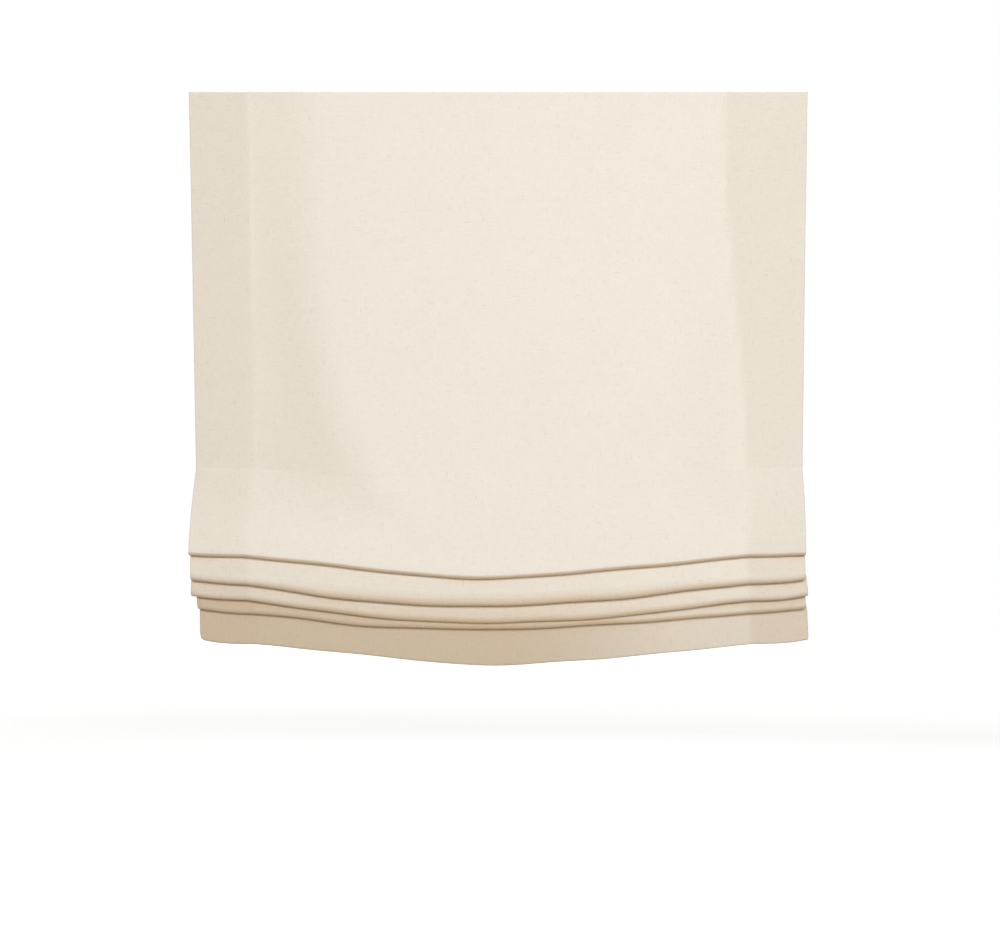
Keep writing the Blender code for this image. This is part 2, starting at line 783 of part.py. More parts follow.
def make_cradle(side, name):
    """A folded plate: two feet on the board, and two walls that carry the spool's hubs."""
    x = side * RING_X
    top = BOARD_UNDERSIDE - GAP
    foot = CRADLE_HALF
    low_y = SHAFT_Y - CRADLE_DEPTH / 2
    high_y = SHAFT_Y + CRADLE_DEPTH / 2
    cradle = box((x - foot, low_y, top - CRADLE_SHEET), (x + foot, high_y, top))
    for wall_side in (-1, 1):
        near, far = sorted((x + wall_side * CRADLE_INNER, x + wall_side * CRADLE_OUTER))
        wall = box(
            (near, low_y, SHAFT_Z - SPOOL_HUB_RADIUS - CRADLE_LIP),
            (far, high_y, top - CRADLE_SHEET / 2),
        )
        combine(cradle, wall, "UNION")
    hub_hole = cylinder(
        SPOOL_HUB_RADIUS + GAP,
        (x - foot, SHAFT_Y, SHAFT_Z),
        (x + foot, SHAFT_Y, SHAFT_Z),
        BEARING_SIDES,
    )
    combine(cradle, hub_hole)
    cut_screw_holes(cradle, f"cradle_screw_{name}")
    return finish(cradle, f"spool_cradle_{name}", WHITE_PLASTIC)


def cut_screw_holes(obj, prefix):
    for name, x, y, seat in screw_places():
        if name.startswith(prefix):
            hole = cylinder(
                SCREW_RADIUS + HOLE_CLEARANCE,
                (x, y, seat - SCREW_HEAD_HEIGHT),
                (x, y, seat + SCREW_LENGTH / 2),
                SCREW_HOLE_SIDES,
            )
            combine(obj, hole)


def make_collar(side, name):
    inner = RING_X + CRADLE_OUTER + HUB_STANDS_OUT + GAP
    near, far = sorted((side * inner, side * (inner + COLLAR_LENGTH)))
    collar = cylinder(COLLAR_RADIUS, (near, SHAFT_Y, SHAFT_Z), (far, SHAFT_Y, SHAFT_Z), 16)
    bore_for_shaft(collar, (near + far) / 2, COLLAR_LENGTH)
    return finish(collar, f"shaft_collar_{name}", GREY_PLASTIC, math.radians(40))


def make_motor_frame():
    """The base on the board with its two ears, and the left end plate, in one piece."""
    top = BOARD_UNDERSIDE - GAP
    half = MOTOR_WIDTH / 2
    front = SHAFT_Y - MOTOR_FRONT
    back = STORAGE_Y + MOTOR_BACK
    frame = box((-half - MOTOR_EAR, front, top - MOTOR_SHEET), (half + MOTOR_EAR, back, top))
    plate = box(
        (-half, front, SHAFT_Z - MOTOR_BELOW),
        (-half + MOTOR_SHEET, back, top - MOTOR_SHEET / 2),
    )
    combine(frame, plate, "UNION")
    for y in (front + MOTOR_SHEET, back - MOTOR_SHEET):
        post = cylinder(
            MOTOR_SHEET,
            (-half + MOTOR_SHEET / 2, y, SHAFT_Z - MOTOR_BELOW + MOTOR_SHEET),
            (half - MOTOR_SHEET - GAP, y, SHAFT_Z - MOTOR_BELOW + MOTOR_SHEET),
            10,
        )
        combine(frame, post, "UNION")
    cut_bearings(frame, -half)
    cut_screw_holes(frame, "motor_screw")
    return finish(frame, "motor_frame", GREY_PLASTIC)


def cut_bearings(obj, x):
    for radius, y in ((SPOOL_HUB_RADIUS, SHAFT_Y), (STORAGE_HUB_RADIUS, STORAGE_Y)):
        past = 2 * MOTOR_SHEET
        hole = cylinder(
            radius + GAP, (x - past, y, SHAFT_Z), (x + past, y, SHAFT_Z), BEARING_SIDES
        )
        combine(obj, hole)


def make_motor_plate():
    half = MOTOR_WIDTH / 2
    plate = box(
        (half - MOTOR_SHEET, SHAFT_Y - MOTOR_FRONT, SHAFT_Z - MOTOR_BELOW),
        (half, STORAGE_Y + MOTOR_BACK, BOARD_UNDERSIDE - GAP - MOTOR_SHEET - GAP),
    )
    cut_bearings(plate, half)
    return finish(plate, "motor_side_plate", GREY_PLASTIC)


def drum_profile(barrel, flange, hub):
    half = MOTOR_WIDTH / 2
    return stepped(
        (
            (half + HUB_STANDS_OUT, hub),
            (half - MOTOR_SHEET - GAP, flange),
            (half - MOTOR_SHEET - GAP - DRUM_FLANGE, barrel),
        )
    )


def make_drums():
    profile = drum_profile(OUTPUT_BARREL_RADIUS, OUTPUT_FLANGE_RADIUS, SPOOL_HUB_RADIUS)
    output = lie_along_x(turned(profile, ROUND_SIDES), 0, SHAFT_Y, SHAFT_Z)
    bore_for_shaft(output, 0, MOTOR_WIDTH)
    finish(output, "output_drum", WHITE_PLASTIC, math.radians(40))
    profile = drum_profile(STORAGE_BARREL_RADIUS, STORAGE_FLANGE_RADIUS, STORAGE_HUB_RADIUS)
    storage = lie_along_x(turned(profile, ROUND_SIDES), 0, STORAGE_Y, SHAFT_Z)
    finish(storage, "storage_drum", WHITE_PLASTIC, math.radians(40))


def coil(inner, outer, y, half):
    tube = cylinder(outer, (-half, y, SHAFT_Z), (half, y, SHAFT_Z), COIL_SIDES)
    past = half + GAP
    combine(tube, cylinder(inner, (-past, y, SHAFT_Z), (past, y, SHAFT_Z), COIL_SIDES))
    return tube


def make_spring_band():
    """A coil on each drum, and the strap that crosses from one's top to the other's bottom."""
    half = MOTOR_WIDTH / 2 - MOTOR_SHEET - GAP - DRUM_FLANGE - GAP
    output_outer = OUTPUT_BARREL_RADIUS + GAP + OUTPUT_COIL
    storage_outer = STORAGE_BARREL_RADIUS + GAP + STORAGE_COIL
    band = coil(OUTPUT_BARREL_RADIUS + GAP, output_outer, SHAFT_Y, half)
    combine(band, coil(STORAGE_BARREL_RADIUS + GAP, storage_outer, STORAGE_Y, half), "UNION")
    output_middle = output_outer - BAND_THICKNESS / 2
    storage_middle = storage_outer - BAND_THICKNESS / 2
    tilt = math.asin((output_middle + storage_middle) / DRUM_SPACING)
    away = Vector((0, -math.sin(tilt), math.cos(tilt)))
    start = Vector((0, SHAFT_Y, SHAFT_Z)) - output_middle * away
    end = Vector((0, STORAGE_Y, SHAFT_Z)) + storage_middle * away
    run = end - start
    strap = box(
        (-half, -run.length / 2, -BAND_THICKNESS / 2), (half, run.length / 2, BAND_THICKNESS / 2)
    )
    strap.location = (start + end) / 2
    strap.rotation_euler = (math.atan2(run.z, run.y), 0, 0)
    combine(band, strap, "UNION")
    return finish(band, "spring_band", SPRING_STEEL, math.radians(40))


def round_cord(name, points):
    curve = bpy.data.curves.new(name, "CURVE")
    curve.dimensions = "3D"
    curve.bevel_depth = CORD_RADIUS
    curve.bevel_resolution = 2
    curve.use_fill_caps = True
    spline = curve.splines.new("POLY")
    spline.points.add(len(points) - 1)
    for point, place in zip(spline.points, points):
        point.co = (*place, 1)
    obj = bpy.data.objects.new(name, curve)
    bpy.context.scene.collection.objects.link(obj)
    return finish(obj, name, CORD)


def ring_place(z):
    """(y, z) of the middle of a ring, sewn to the lining at the cloth's height z."""
    section = Section(RING_X)
    if z in GATHERED_RINGS:
        y, slope = section.fold_line(1 + GATHERED_RINGS.index(z), z)
        tilt = math.atan2(1, slope)
        back_y, back_z = math.cos(tilt), math.sin(tilt)
        away = LAYER_PITCH / 2 + CLOTH_BACK
    else:
        y, z, back_y, back_z = section.panel_station(z)
        away = CLOTH_BACK
    return (y + away * back_y + GAP + RING_OUTER_RADIUS, z + away * back_z)


def cap_height():
    """The middle of the spreader bar's caps, under the lowest ring."""
    lowest = ring_place(GATHERED_RINGS[-1])[1]
    return lowest - RING_WIRE_RADIUS - GAP - CAP_RADIUS


def orb_height():
    return cap_height() - CAP_RADIUS - GAP - ORB_RADIUS


def make_lift_cord(side, name):
    """Straight down from the front of the spool, through the rings, cap and orb."""
    x = side * RING_X
    bottom = orb_height() - ORB_RADIUS - CORD_TAIL
    runs = 5
    points = [(x, CORD_Y, blend(SHAFT_Z, bottom, run / runs)) for run in range(runs + 1)]
    return round_cord(f"lift_cord_{name}", points)


def make_rings(side, name):
    """Rows are numbered from the bottom of the cloth."""
    for row, height in enumerate(sorted((*PANEL_RINGS, *GATHERED_RINGS))):
        bpy.ops.mesh.primitive_torus_add(
            major_segments=RING_SIDES,
            minor_segments=RING_WIRE_SIDES,
            major_radius=RING_OUTER_RADIUS - RING_WIRE_RADIUS,
            minor_radius=RING_WIRE_RADIUS,
            location=(side * RING_X, *ring_place(height)),
        )
        finish(bpy.context.object, f"ring_{name}_{row + 1}", CLEAR_RING, math.radians(60))


def make_orb(side, name):
    """A ball with flats above and below, bored for the cord."""
    flat = ORB_RADIUS * 0.94
    angles = [math.radians(blend(70, -70, band / ORB_BANDS)) for band in range(ORB_BANDS + 1)]
    profile = [(0, flat)]
    profile += [(ORB_RADIUS * math.cos(a), ORB_RADIUS * math.sin(a)) for a in angles]
    profile += [(0, -flat)]
    orb = turned(profile, ROUND_SIDES)
    x = side * RING_X
    orb.location = (x, CORD_Y, orb_height())
    reach = 2 * ORB_RADIUS
    bore = cylinder(
        CORD_RADIUS + GAP,
        (x, CORD_Y, orb_height() - reach),
        (x, CORD_Y, orb_height() + reach),
        CORD_HOLE_SIDES,
    )
    combine(orb, bore)
    return finish(orb, f"cord_orb_{name}", WHITE_PLASTIC, math.radians(40))


def make_spreader():
    z = cap_height()
    socket_end = RING_X - CAP_LENGTH / 2 + CAP_SOCKET - GAP
    bar = cylinder(BAR_RADIUS, (-socket_end, CORD_Y, z), (socket_end, CORD_Y, z), ROUND_SIDES)
    finish(bar, "spreader_bar", ALUMINIUM, math.radians(40))
    for side, name in ((-1, "left"), (1, "right")):
        x = side * RING_X
        near, far = sorted((x - side * CAP_LENGTH / 2, x + side * CAP_LENGTH / 2))
        cap = cylinder(CAP_RADIUS, (near, CORD_Y, z), (far, CORD_Y, z), ROUND_SIDES)
        inner = x - side * CAP_LENGTH
        floor = side * (socket_end + GAP)
        near, far = sorted((inner, floor))
        socket = cylinder(BAR_RADIUS + GAP, (near, CORD_Y, z), (far, CORD_Y, z), ROUND_SIDES)
        combine(cap, socket)
        hole_low = (x, CORD_Y, z - 2 * CAP_RADIUS)
        hole_high = (x, CORD_Y, z + 2 * CAP_RADIUS)
        combine(cap, cylinder(CORD_RADIUS + GAP, hole_low, hole_high, CORD_HOLE_SIDES))
        finish(cap, f"spreader_cap_{name}", WHITE_PLASTIC, math.radians(40))


make_face_cloth()
make_lining()
make_board()
make_tapes()
make_screws()
make_shaft()
make_motor_frame()
make_motor_plate()
make_drums()
make_spring_band()
make_spreader()
for side, name in ((-1, "left"), (1, "right")):
    make_bracket(side, f"bracket_{name}")
    make_cradle(side, name)
    make_spool(side, name)
    make_wound_cord(side, name)
    make_collar(side, name)
    make_lift_cord(side, name)
    make_rings(side, name)
    make_orb(side, name)
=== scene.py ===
# Looks for a relaxed linen roman shade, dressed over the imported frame
import itertools
import math

import bpy
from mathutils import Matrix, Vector, noise


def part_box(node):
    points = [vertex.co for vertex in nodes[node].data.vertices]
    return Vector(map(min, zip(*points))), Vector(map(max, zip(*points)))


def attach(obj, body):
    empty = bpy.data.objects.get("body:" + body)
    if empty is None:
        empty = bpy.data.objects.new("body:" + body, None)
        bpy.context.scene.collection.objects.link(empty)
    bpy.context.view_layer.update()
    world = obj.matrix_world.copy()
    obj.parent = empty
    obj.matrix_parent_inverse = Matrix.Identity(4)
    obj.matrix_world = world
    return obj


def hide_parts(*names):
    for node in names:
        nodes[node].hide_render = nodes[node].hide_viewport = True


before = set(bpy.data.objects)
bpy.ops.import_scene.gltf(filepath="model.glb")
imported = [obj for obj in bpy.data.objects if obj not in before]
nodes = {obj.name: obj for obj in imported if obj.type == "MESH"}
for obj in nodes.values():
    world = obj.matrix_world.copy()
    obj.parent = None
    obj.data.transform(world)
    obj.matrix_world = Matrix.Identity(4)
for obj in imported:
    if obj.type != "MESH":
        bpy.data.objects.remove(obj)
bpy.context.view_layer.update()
print("frame loaded:", len(nodes), "nodes")


# small tools

def deselectAll():
    for obj in bpy.context.selected_objects:
        obj.select_set(False)


def makeActive(obj):
    deselectAll()
    obj.select_set(True)
    bpy.context.view_layer.objects.active = obj


def applyAll(obj):
    # applies every modifier, then the place, so that the object sits at the origin
    makeActive(obj)
    for modifier in list(obj.modifiers):
        bpy.ops.object.modifier_apply(modifier=modifier.name)
    bpy.ops.object.transform_apply()


def discard(obj):
    bpy.data.objects.remove(obj, do_unlink=True)


def newObject(name, data):
    obj = bpy.data.objects.new(name, data)
    bpy.context.scene.collection.objects.link(obj)
    return obj


def copyOf(obj):
    return newObject(obj.name, obj.data.copy())


def joinAll(parts):
    makeActive(parts[0])
    for part in parts:
        part.select_set(True)
    bpy.ops.object.join()
    return bpy.context.object


def cutWith(obj, tool):
    # takes the tool's shape out of the object, and then the tool away
    cut = obj.modifiers.new("cut", "BOOLEAN")
    cut.solver = "EXACT"
    cut.object = tool
    applyAll(obj)
    discard(tool)


def mix(low, high, share):
    return low + (high - low) * share


def ease(share):
    share = min(max(share, 0.0), 1.0)
    return share * share * (3 - 2 * share)


def bump(distance, width):
    # 1 at the middle, falling smoothly to 0 at width
    return ease(1 - abs(distance) / width)


def dress(obj, name, body, material, smoothAngle):
    # a finished piece: named, painted, riding on its body
    obj.name = name
    obj.data.name = name
    obj.data.materials.clear()
    obj.data.materials.append(material)
    makeActive(obj)
    bpy.ops.object.shade_smooth_by_angle(angle=math.radians(smoothAngle))
    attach(obj, body)


# shader effects that several materials share

def feed(tree, socket, value):
    if isinstance(value, bpy.types.NodeSocket):
        tree.links.new(value, socket)
    else:
        socket.default_value = value


def addNode(tree, kind, inputs, **settings):
    node = tree.nodes.new("ShaderNode" + kind)
    for label, value in settings.items():
        setattr(node, label, value)
    for label, value in inputs.items():
        feed(tree, node.inputs[label], value)
    return node


def mathNode(tree, operation, first, second):
    return addNode(tree, "Math", {0: first, 1: second}, operation=operation).outputs[0]


def mapped(tree, vector, scale, turn=(0, 0, 0)):
    inputs = {"Vector": vector, "Scale": scale, "Rotation": turn}
    return addNode(tree, "Mapping", inputs).outputs["Vector"]


def noiseNode(tree, vector, scale, detail, roughness=0.5):
    inputs = {"Vector": vector, "Scale": scale, "Detail": detail, "Roughness": roughness}
    return addNode(tree, "TexNoise", inputs).outputs["Fac"]


def rangeNode(tree, value, low, high, toLow=0.0, toHigh=1.0):
    inputs = {"Value": value, "From Min": low, "From Max": high, "To Min": toLow, "To Max": toHigh}
    return addNode(tree, "MapRange", inputs).outputs["Result"]


def mixColor(tree, fac, first, second):
    first, second = [(*value, 1.0) if isinstance(value, tuple) else value for value in (first, second)]
    return addNode(tree, "Mix", {0: fac, 6: first, 7: second}, data_type="RGBA").outputs[2]


def scaled(tree, vector, factor):
    return addNode(tree, "VectorMath", {0: vector, "Scale": factor}, operation="SCALE").outputs[0]


def newGroup(name, values, results):
    # a group takes a vector and some values, and gives values
    group = bpy.data.node_groups.new(name, "ShaderNodeTree")
    socket = group.interface.new_socket
    socket(name="Vector", in_out="INPUT", socket_type="NodeSocketVector")
    for label, value in values.items():
        socket(name=label, in_out="INPUT", socket_type="NodeSocketFloat").default_value = value
    for label in results:
        socket(name=label, in_out="OUTPUT", socket_type="NodeSocketFloat")
    return group, group.nodes.new("NodeGroupInput").outputs, group.nodes.new("NodeGroupOutput").inputs


weave = {
    # streaks: how fine each way of the cloth, noise detail, and the noise where they start and end
    "warpSlub": ((560, 66, 1), 1.0, 0.62, 0.78),
    "weftSlub": ((80, 520, 1), 1.0, 0.62, 0.78),
    "paleSlub": ((110, 480, 1), 1.0, 0.64, 0.78),
    "warpLine": ((900, 40, 1), 0.0, 0.35, 0.65),
    "weftLine": ((40, 820, 1), 0.0, 0.35, 0.65),
    "mottle": (9, 7, 1),
    "unevenThreads": 2.2,
    "threadDetail": 0.7,
    # at this share, 3300 in a material puts threads 0.95 mm apart
    "threadShare": 0.1,
    "plainTone": 0.966,
    "slubTone": -0.095,
    "lineTone": 0.012,
    "threadTone": 0.036,
    "mottleTone": 0.030,
    "paleShare": 0.5,
    "slubHeight": 0.7,
}


def makeWeaveGroup():
    # plain weave in cloth metres: fine threads, thick slubs both ways, and a soft mottle
    group, given, result = newGroup("clothWeave", {"Threads": 1200.0, "Slubs": 1.0}, ("Tone", "Height"))
    vector = given["Vector"]

    def times(first, second):
        return mathNode(group, "MULTIPLY", first, second)

    def plus(first, second):
        return mathNode(group, "ADD", first, second)

    def streaks(label):
        scale, detail, low, high = weave[label]
        return rangeNode(group, noiseNode(group, mapped(group, vector, scale), 1.0, detail), low, high)

    fineness = times(given["Threads"], weave["threadShare"])
    waving = {
        "Vector": scaled(group, vector, fineness),
        "Scale": 1.0,
        "Distortion": weave["unevenThreads"],
        "Detail": 1.0,
        "Detail Scale": weave["threadDetail"],
    }
    waves = [addNode(group, "TexWave", waving, bands_direction=axis).outputs["Fac"] for axis in ("X", "Y")]
    threads = times(*waves)
    slubs = plus(streaks("warpSlub"), streaks("weftSlub"))
    lines = plus(streaks("warpLine"), streaks("weftLine"))
    pale = times(streaks("paleSlub"), weave["paleShare"])
    mottle = noiseNode(group, mapped(group, vector, weave["mottle"]), 1.0, 3.0)
    slubTone = times(mathNode(group, "SUBTRACT", slubs, pale), given["Slubs"])
    tone = times(slubTone, weave["slubTone"])
    for value, amount in ((lines, "lineTone"), (threads, "threadTone"), (mottle, "mottleTone")):
        tone = plus(tone, times(value, weave[amount]))
    height = plus(times(slubs, weave["slubHeight"]), lines)
    feed(group, result["Tone"], plus(tone, weave["plainTone"]))
    feed(group, result["Height"], plus(height, threads))
    return group


def makeGrainGroup():
    # a slow cloudiness and a fine grain for moulded and metal pieces
    group, given, result = newGroup("surfaceGrain", {"Size": 300.0}, ("Cloud", "Grain"))
    sized = scaled(group, given["Vector"], given["Size"])
    feed(group, result["Cloud"], noiseNode(group, sized, 0.25, 3.0))
    feed(group, result["Grain"], noiseNode(group, sized, 4.0, 2.0))
    return group


clothWeave = makeWeaveGroup()
surfaceGrain = makeGrainGroup()


def newMaterial(name, values):
    material = bpy.data.materials.new(name)
    material.use_nodes = True
    tree = material.node_tree
    shader = tree.nodes["Principled BSDF"].inputs
    for label, value in values.items():
        shader[label].default_value = value
    return material, tree, shader


def paint(tree, shader, color, height, depth):
    feed(tree, shader["Base Color"], color)
    bumped = addNode(tree, "Bump", {"Distance": depth, "Height": height})
    feed(tree, shader["Normal"], bumped.outputs["Normal"])


def objectPlace(tree):
    return tree.nodes.new("ShaderNodeTexCoord").outputs["Object"]


def shaded(color, share):
    return tuple(min(c * share, 1) for c in color)


def clothMaterial(name, colors, threads, slubs, depth):
    # painted light and shade as if lit from behind, through many layers, and under a fold: the piece's own
    # attributes say how much of each
    surface = {"Roughness": 0.92, "Sheen Weight": 0.06, "Sheen Roughness": 0.6, "Specular IOR Level": 0.2}
    material, tree, shader = newMaterial(name, surface)
    base = colors[0]
    for label, color in (("paintedShade", colors[1]), ("paintedFoldShade", colors[2])):
        amount = addNode(tree, "Attribute", {}, attribute_name=label).outputs["Fac"]
        base = mixColor(tree, amount, base, color)
    metres = addNode(tree, "UVMap", {}, uv_map="clothMetres").outputs["UV"]
    inputs = {"Vector": metres, "Threads": threads, "Slubs": slubs}
    cross = addNode(tree, "Group", inputs, node_tree=clothWeave).outputs
    paint(tree, shader, scaled(tree, base, cross["Tone"]), cross["Height"], depth)
    return material


def mouldedMaterial(name, color, roughness, size, metallic=0.0, contrast=0.06):
    # moulded plastic, or plain metal
    material, tree, shader = newMaterial(name, {"Metallic": metallic})
    inputs = {"Vector": objectPlace(tree), "Size": size}
    grain = addNode(tree, "Group", inputs, node_tree=surfaceGrain).outputs
    base = mixColor(tree, grain["Cloud"], shaded(color, 1 - contrast), shaded(color, 1 + contrast))
    rough = rangeNode(tree, grain["Grain"], 0.3, 0.7, roughness * 0.85, min(roughness * 1.2, 1))
    feed(tree, shader["Roughness"], rough)
    paint(tree, shader, base, grain["Grain"], 0.00002)
    return material


def woodMaterial(name, color):
    # primed pine: faint grain along X under the paint
    material, tree, shader = newMaterial(name, {"Roughness": 0.55})
    grain = noiseNode(tree, mapped(tree, objectPlace(tree), (3, 60, 60)), 2.0, 5.0, 0.6)
    paint(tree, shader, mixColor(tree, grain, shaded(color, 0.88), color), grain, 0.0003)
    return material


def tapeMaterial(name, color):
    # woven tape with a field of tiny loops
    material, tree, shader = newMaterial(name, {"Roughness": 0.9})
    inputs = {"Vector": objectPlace(tree), "Scale": 900}
    loops = addNode(tree, "TexVoronoi", inputs).outputs["Distance"]
    paint(tree, shader, mixColor(tree, loops, color, shaded(color, 0.7)), loops, 0.0004)
    return material


def cordMaterial(name, color):
    # braid: two sets of strands, slanting opposite ways
    material, tree, shader = newMaterial(name, {"Roughness": 0.8})
    strands = []
    for turn in (0.7, -0.7):
        slanted = mapped(tree, objectPlace(tree), (1, 1, 1), (turn, turn, 0))
        wave = addNode(tree, "TexWave", {"Vector": slanted, "Scale": 260}, bands_direction="Z")
        strands.append(wave.outputs["Fac"])
    braid = mathNode(tree, "MAXIMUM", *strands)
    paint(tree, shader, mixColor(tree, braid, shaded(color, 0.78), color), braid, 0.0001)
    return material


# each cloth's own colour, then its painted shade where more layers lie behind or less light falls, then its
# warm painted shade under a fold
linenColors = ((0.860, 0.803, 0.712), (0.610, 0.495, 0.360), (0.660, 0.480, 0.290))
liningColors = ((0.82, 0.80, 0.75), (0.74, 0.71, 0.64), (0.70, 0.66, 0.58))
linen = clothMaterial("linen", linenColors, 3300.0, 1.0, 0.00008)
liningCloth = clothMaterial("lining", liningColors, 5200.0, 0.15, 0.00005)
boardPaint = woodMaterial("primedBoard", (0.80, 0.77, 0.70))
hookTape = tapeMaterial("hookTape", (0.82, 0.81, 0.77))
zincSteel = mouldedMaterial("zincSteel", (0.46, 0.46, 0.45), 0.44, 220.0, 1.0, 0.16)
springSteel = mouldedMaterial("springSteel", (0.42, 0.43, 0.46), 0.26, 160.0, 1.0, 0.10)
whitePlastic = mouldedMaterial("whiteAcetal", (0.80, 0.80, 0.78), 0.42, 260.0)
greyPlastic = mouldedMaterial("greyNylon", (0.34, 0.35, 0.36), 0.52, 260.0, 0.0, 0.10)
ringPlastic = mouldedMaterial("ringPlastic", (0.84, 0.83, 0.79), 0.30, 400.0)
aluminiumRod = mouldedMaterial("aluminiumRod", (0.74, 0.75, 0.76), 0.34, 120.0, 1.0, 0.08)
braidedCord = cordMaterial("braidedCord", (0.88, 0.87, 0.83))
stitchThread = mouldedMaterial("stitchThread", (0.80, 0.76, 0.68), 0.75, 900.0)
print("materials ready")


# the cloth

cloth = {
    "width": 0.914,
    "thickness": 0.0009,
    "liningThickness": 0.0005,
    "sideHem": 0.085,
    "hemAir": 0.0005,
    "bottomHem": 0.060,
    "bottomHemRows": 5,
    "bottomRadius": 0.0031,
    "liningInset": 0.020,
    "liningShort": 0.012,
    "top": 0.0105,
    "gap": 0.0003,
}
gathering = {
    "ringInset": 0.081,
    "ringPitch": 0.2286,
    "drops": (0.5572, 0.6118, 0.6379, 0.6527, 0.6675),
    "sags": (0.0218, 0.0290, 0.0290, 0.0290, 0.0290),
    "slips": (0.0080, 0.0046, 0.0052, -0.0082),
    "edgeRises": (0.0, 0.0044, 0.0074, 0.0060, 0.0070),
    "sagRounding": 0.25,
    "creaseFade": 0.130,
    "skirt": 0.149,
}
edges = {
    # how far each edge stands in at the top, the crease, each loop and the skirt
    "left": (0.0, 0.0098, 0.0039, 0.0064, 0.0058, 0.0140, 0.0165),
    "right": (0.0, 0.0068, 0.0070, 0.0074, 0.0020, 0.0046, -0.0015),
    "cornerRadius": 0.007,
}
folds = {
    "radius": 0.0036,
    "air": 0.0006,
    "standoff": 0.004,
    "firstShoulder": 0.092,
    "firstPower": 1.6,
    "ratio": 1.2,
    "run": 0.006,
    "power": 3,
    "bellyPower": 9,
    # extra radius of each loop's bottom, where the loop before it has ended
    "teardrop": (0.0022, 0.0043, 0.0034, 0.0022),
    "firstSwell": 0.06,
    "tall": 1.4,
    # painted shade above each bottom: how high in the middle, how dark, and its share at the sides
    "underShade": (0.006, 0.021, 0.016, 0.010),
    "underDepth": (0.55, 0.75, 0.75, 0.45),
    "underEdge": 0.45,
    # how high the painted shade reaches up the back of each turn
    "backShade": 0.012,
    # painted shade: the warm dark line where a loop comes out from behind the one before it
    "creviceShade": 0.55,
    "creviceShadeReach": 0.003,
    # what is hidden behind a fold stands a little in from the edge
    "backInset": 0.007,
    "frontFade": 0.03,
    "backFade": 0.05,
    "turnShare": 0.97,
    "creaseRows": (0.012, 0.006, 0.002),
    "measuredShares": (0.0, 0.07, 0.14, 0.28, 0.42, 0.7, 1.0),
}
drape = {
    # the belly's left edge by height: it drifts inwards towards the swag
    "leftEdge": ((0.0, 0.318), (-0.30, 0.308), (-0.445, 0.286), (-0.548, 0.234), (-0.70, 0.100)),
    "leftSoft": 0.105,
    "rightEdge": 0.290,
    "rightSoft": 0.170,
    "belly": 0.0095,
    # noise: scale and shift across, scale down, slant, layer of the noise, height
    "ripple": (5.1, 3.0, 1.5, 0.0, 0.4, 0.0022),
    "crossRipple": (11.0, 0.0, 2.6, 2.0, 2.7, 0.00077),
    "crumple": (34, 0.0, 30, 0.0, 7.7, 0.00026),
    "edgeFade": 0.05,
    # it fades in below the tape, and ends above the crease
    "fadeIn": 0.30,
    "fadeOut": 0.085,
    "endBelow": 0.115,
}

halfWidth = cloth["width"] / 2
ringX = halfWidth - gathering["ringInset"]
loopCount = len(gathering["drops"]) - 1
layerPitch = cloth["thickness"] + folds["air"]
hemOffset = cloth["thickness"] + cloth["hemAir"]
liningOffset = hemOffset + cloth["thickness"] / 2 + cloth["gap"] + cloth["liningThickness"] / 2
clothBack = liningOffset + cloth["liningThickness"] / 2
liningEdge = halfWidth - cloth["liningInset"]
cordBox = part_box("lift_cord_left")
cordY = (cordBox[0].y + cordBox[1].y) / 2
ringRadius = (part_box("ring_left_7")[1].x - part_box("ring_left_7")[0].x) / 2
gatherY = cordY - ringRadius - cloth["gap"] - clothBack - layerPitch / 2
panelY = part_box("loop_tape")[0].y - cloth["gap"] - clothBack
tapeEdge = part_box("loop_tape")[0].z - cloth["gap"]


def leftEdgeAt(z):
    edge = drape["leftEdge"]
    for (high, start), (low, end) in zip(edge, edge[1:]):
        if z >= low:
            return mix(start, end, min(max((high - z) / (high - low), 0), 1))
    return edge[-1][1]


def unevenAt(x, z, label):
    pace, shift, fallPace, slant, layer, height = drape[label]
    return height * noise.noise(Vector((x * pace + shift, z * fallPace + x * slant, layer)))


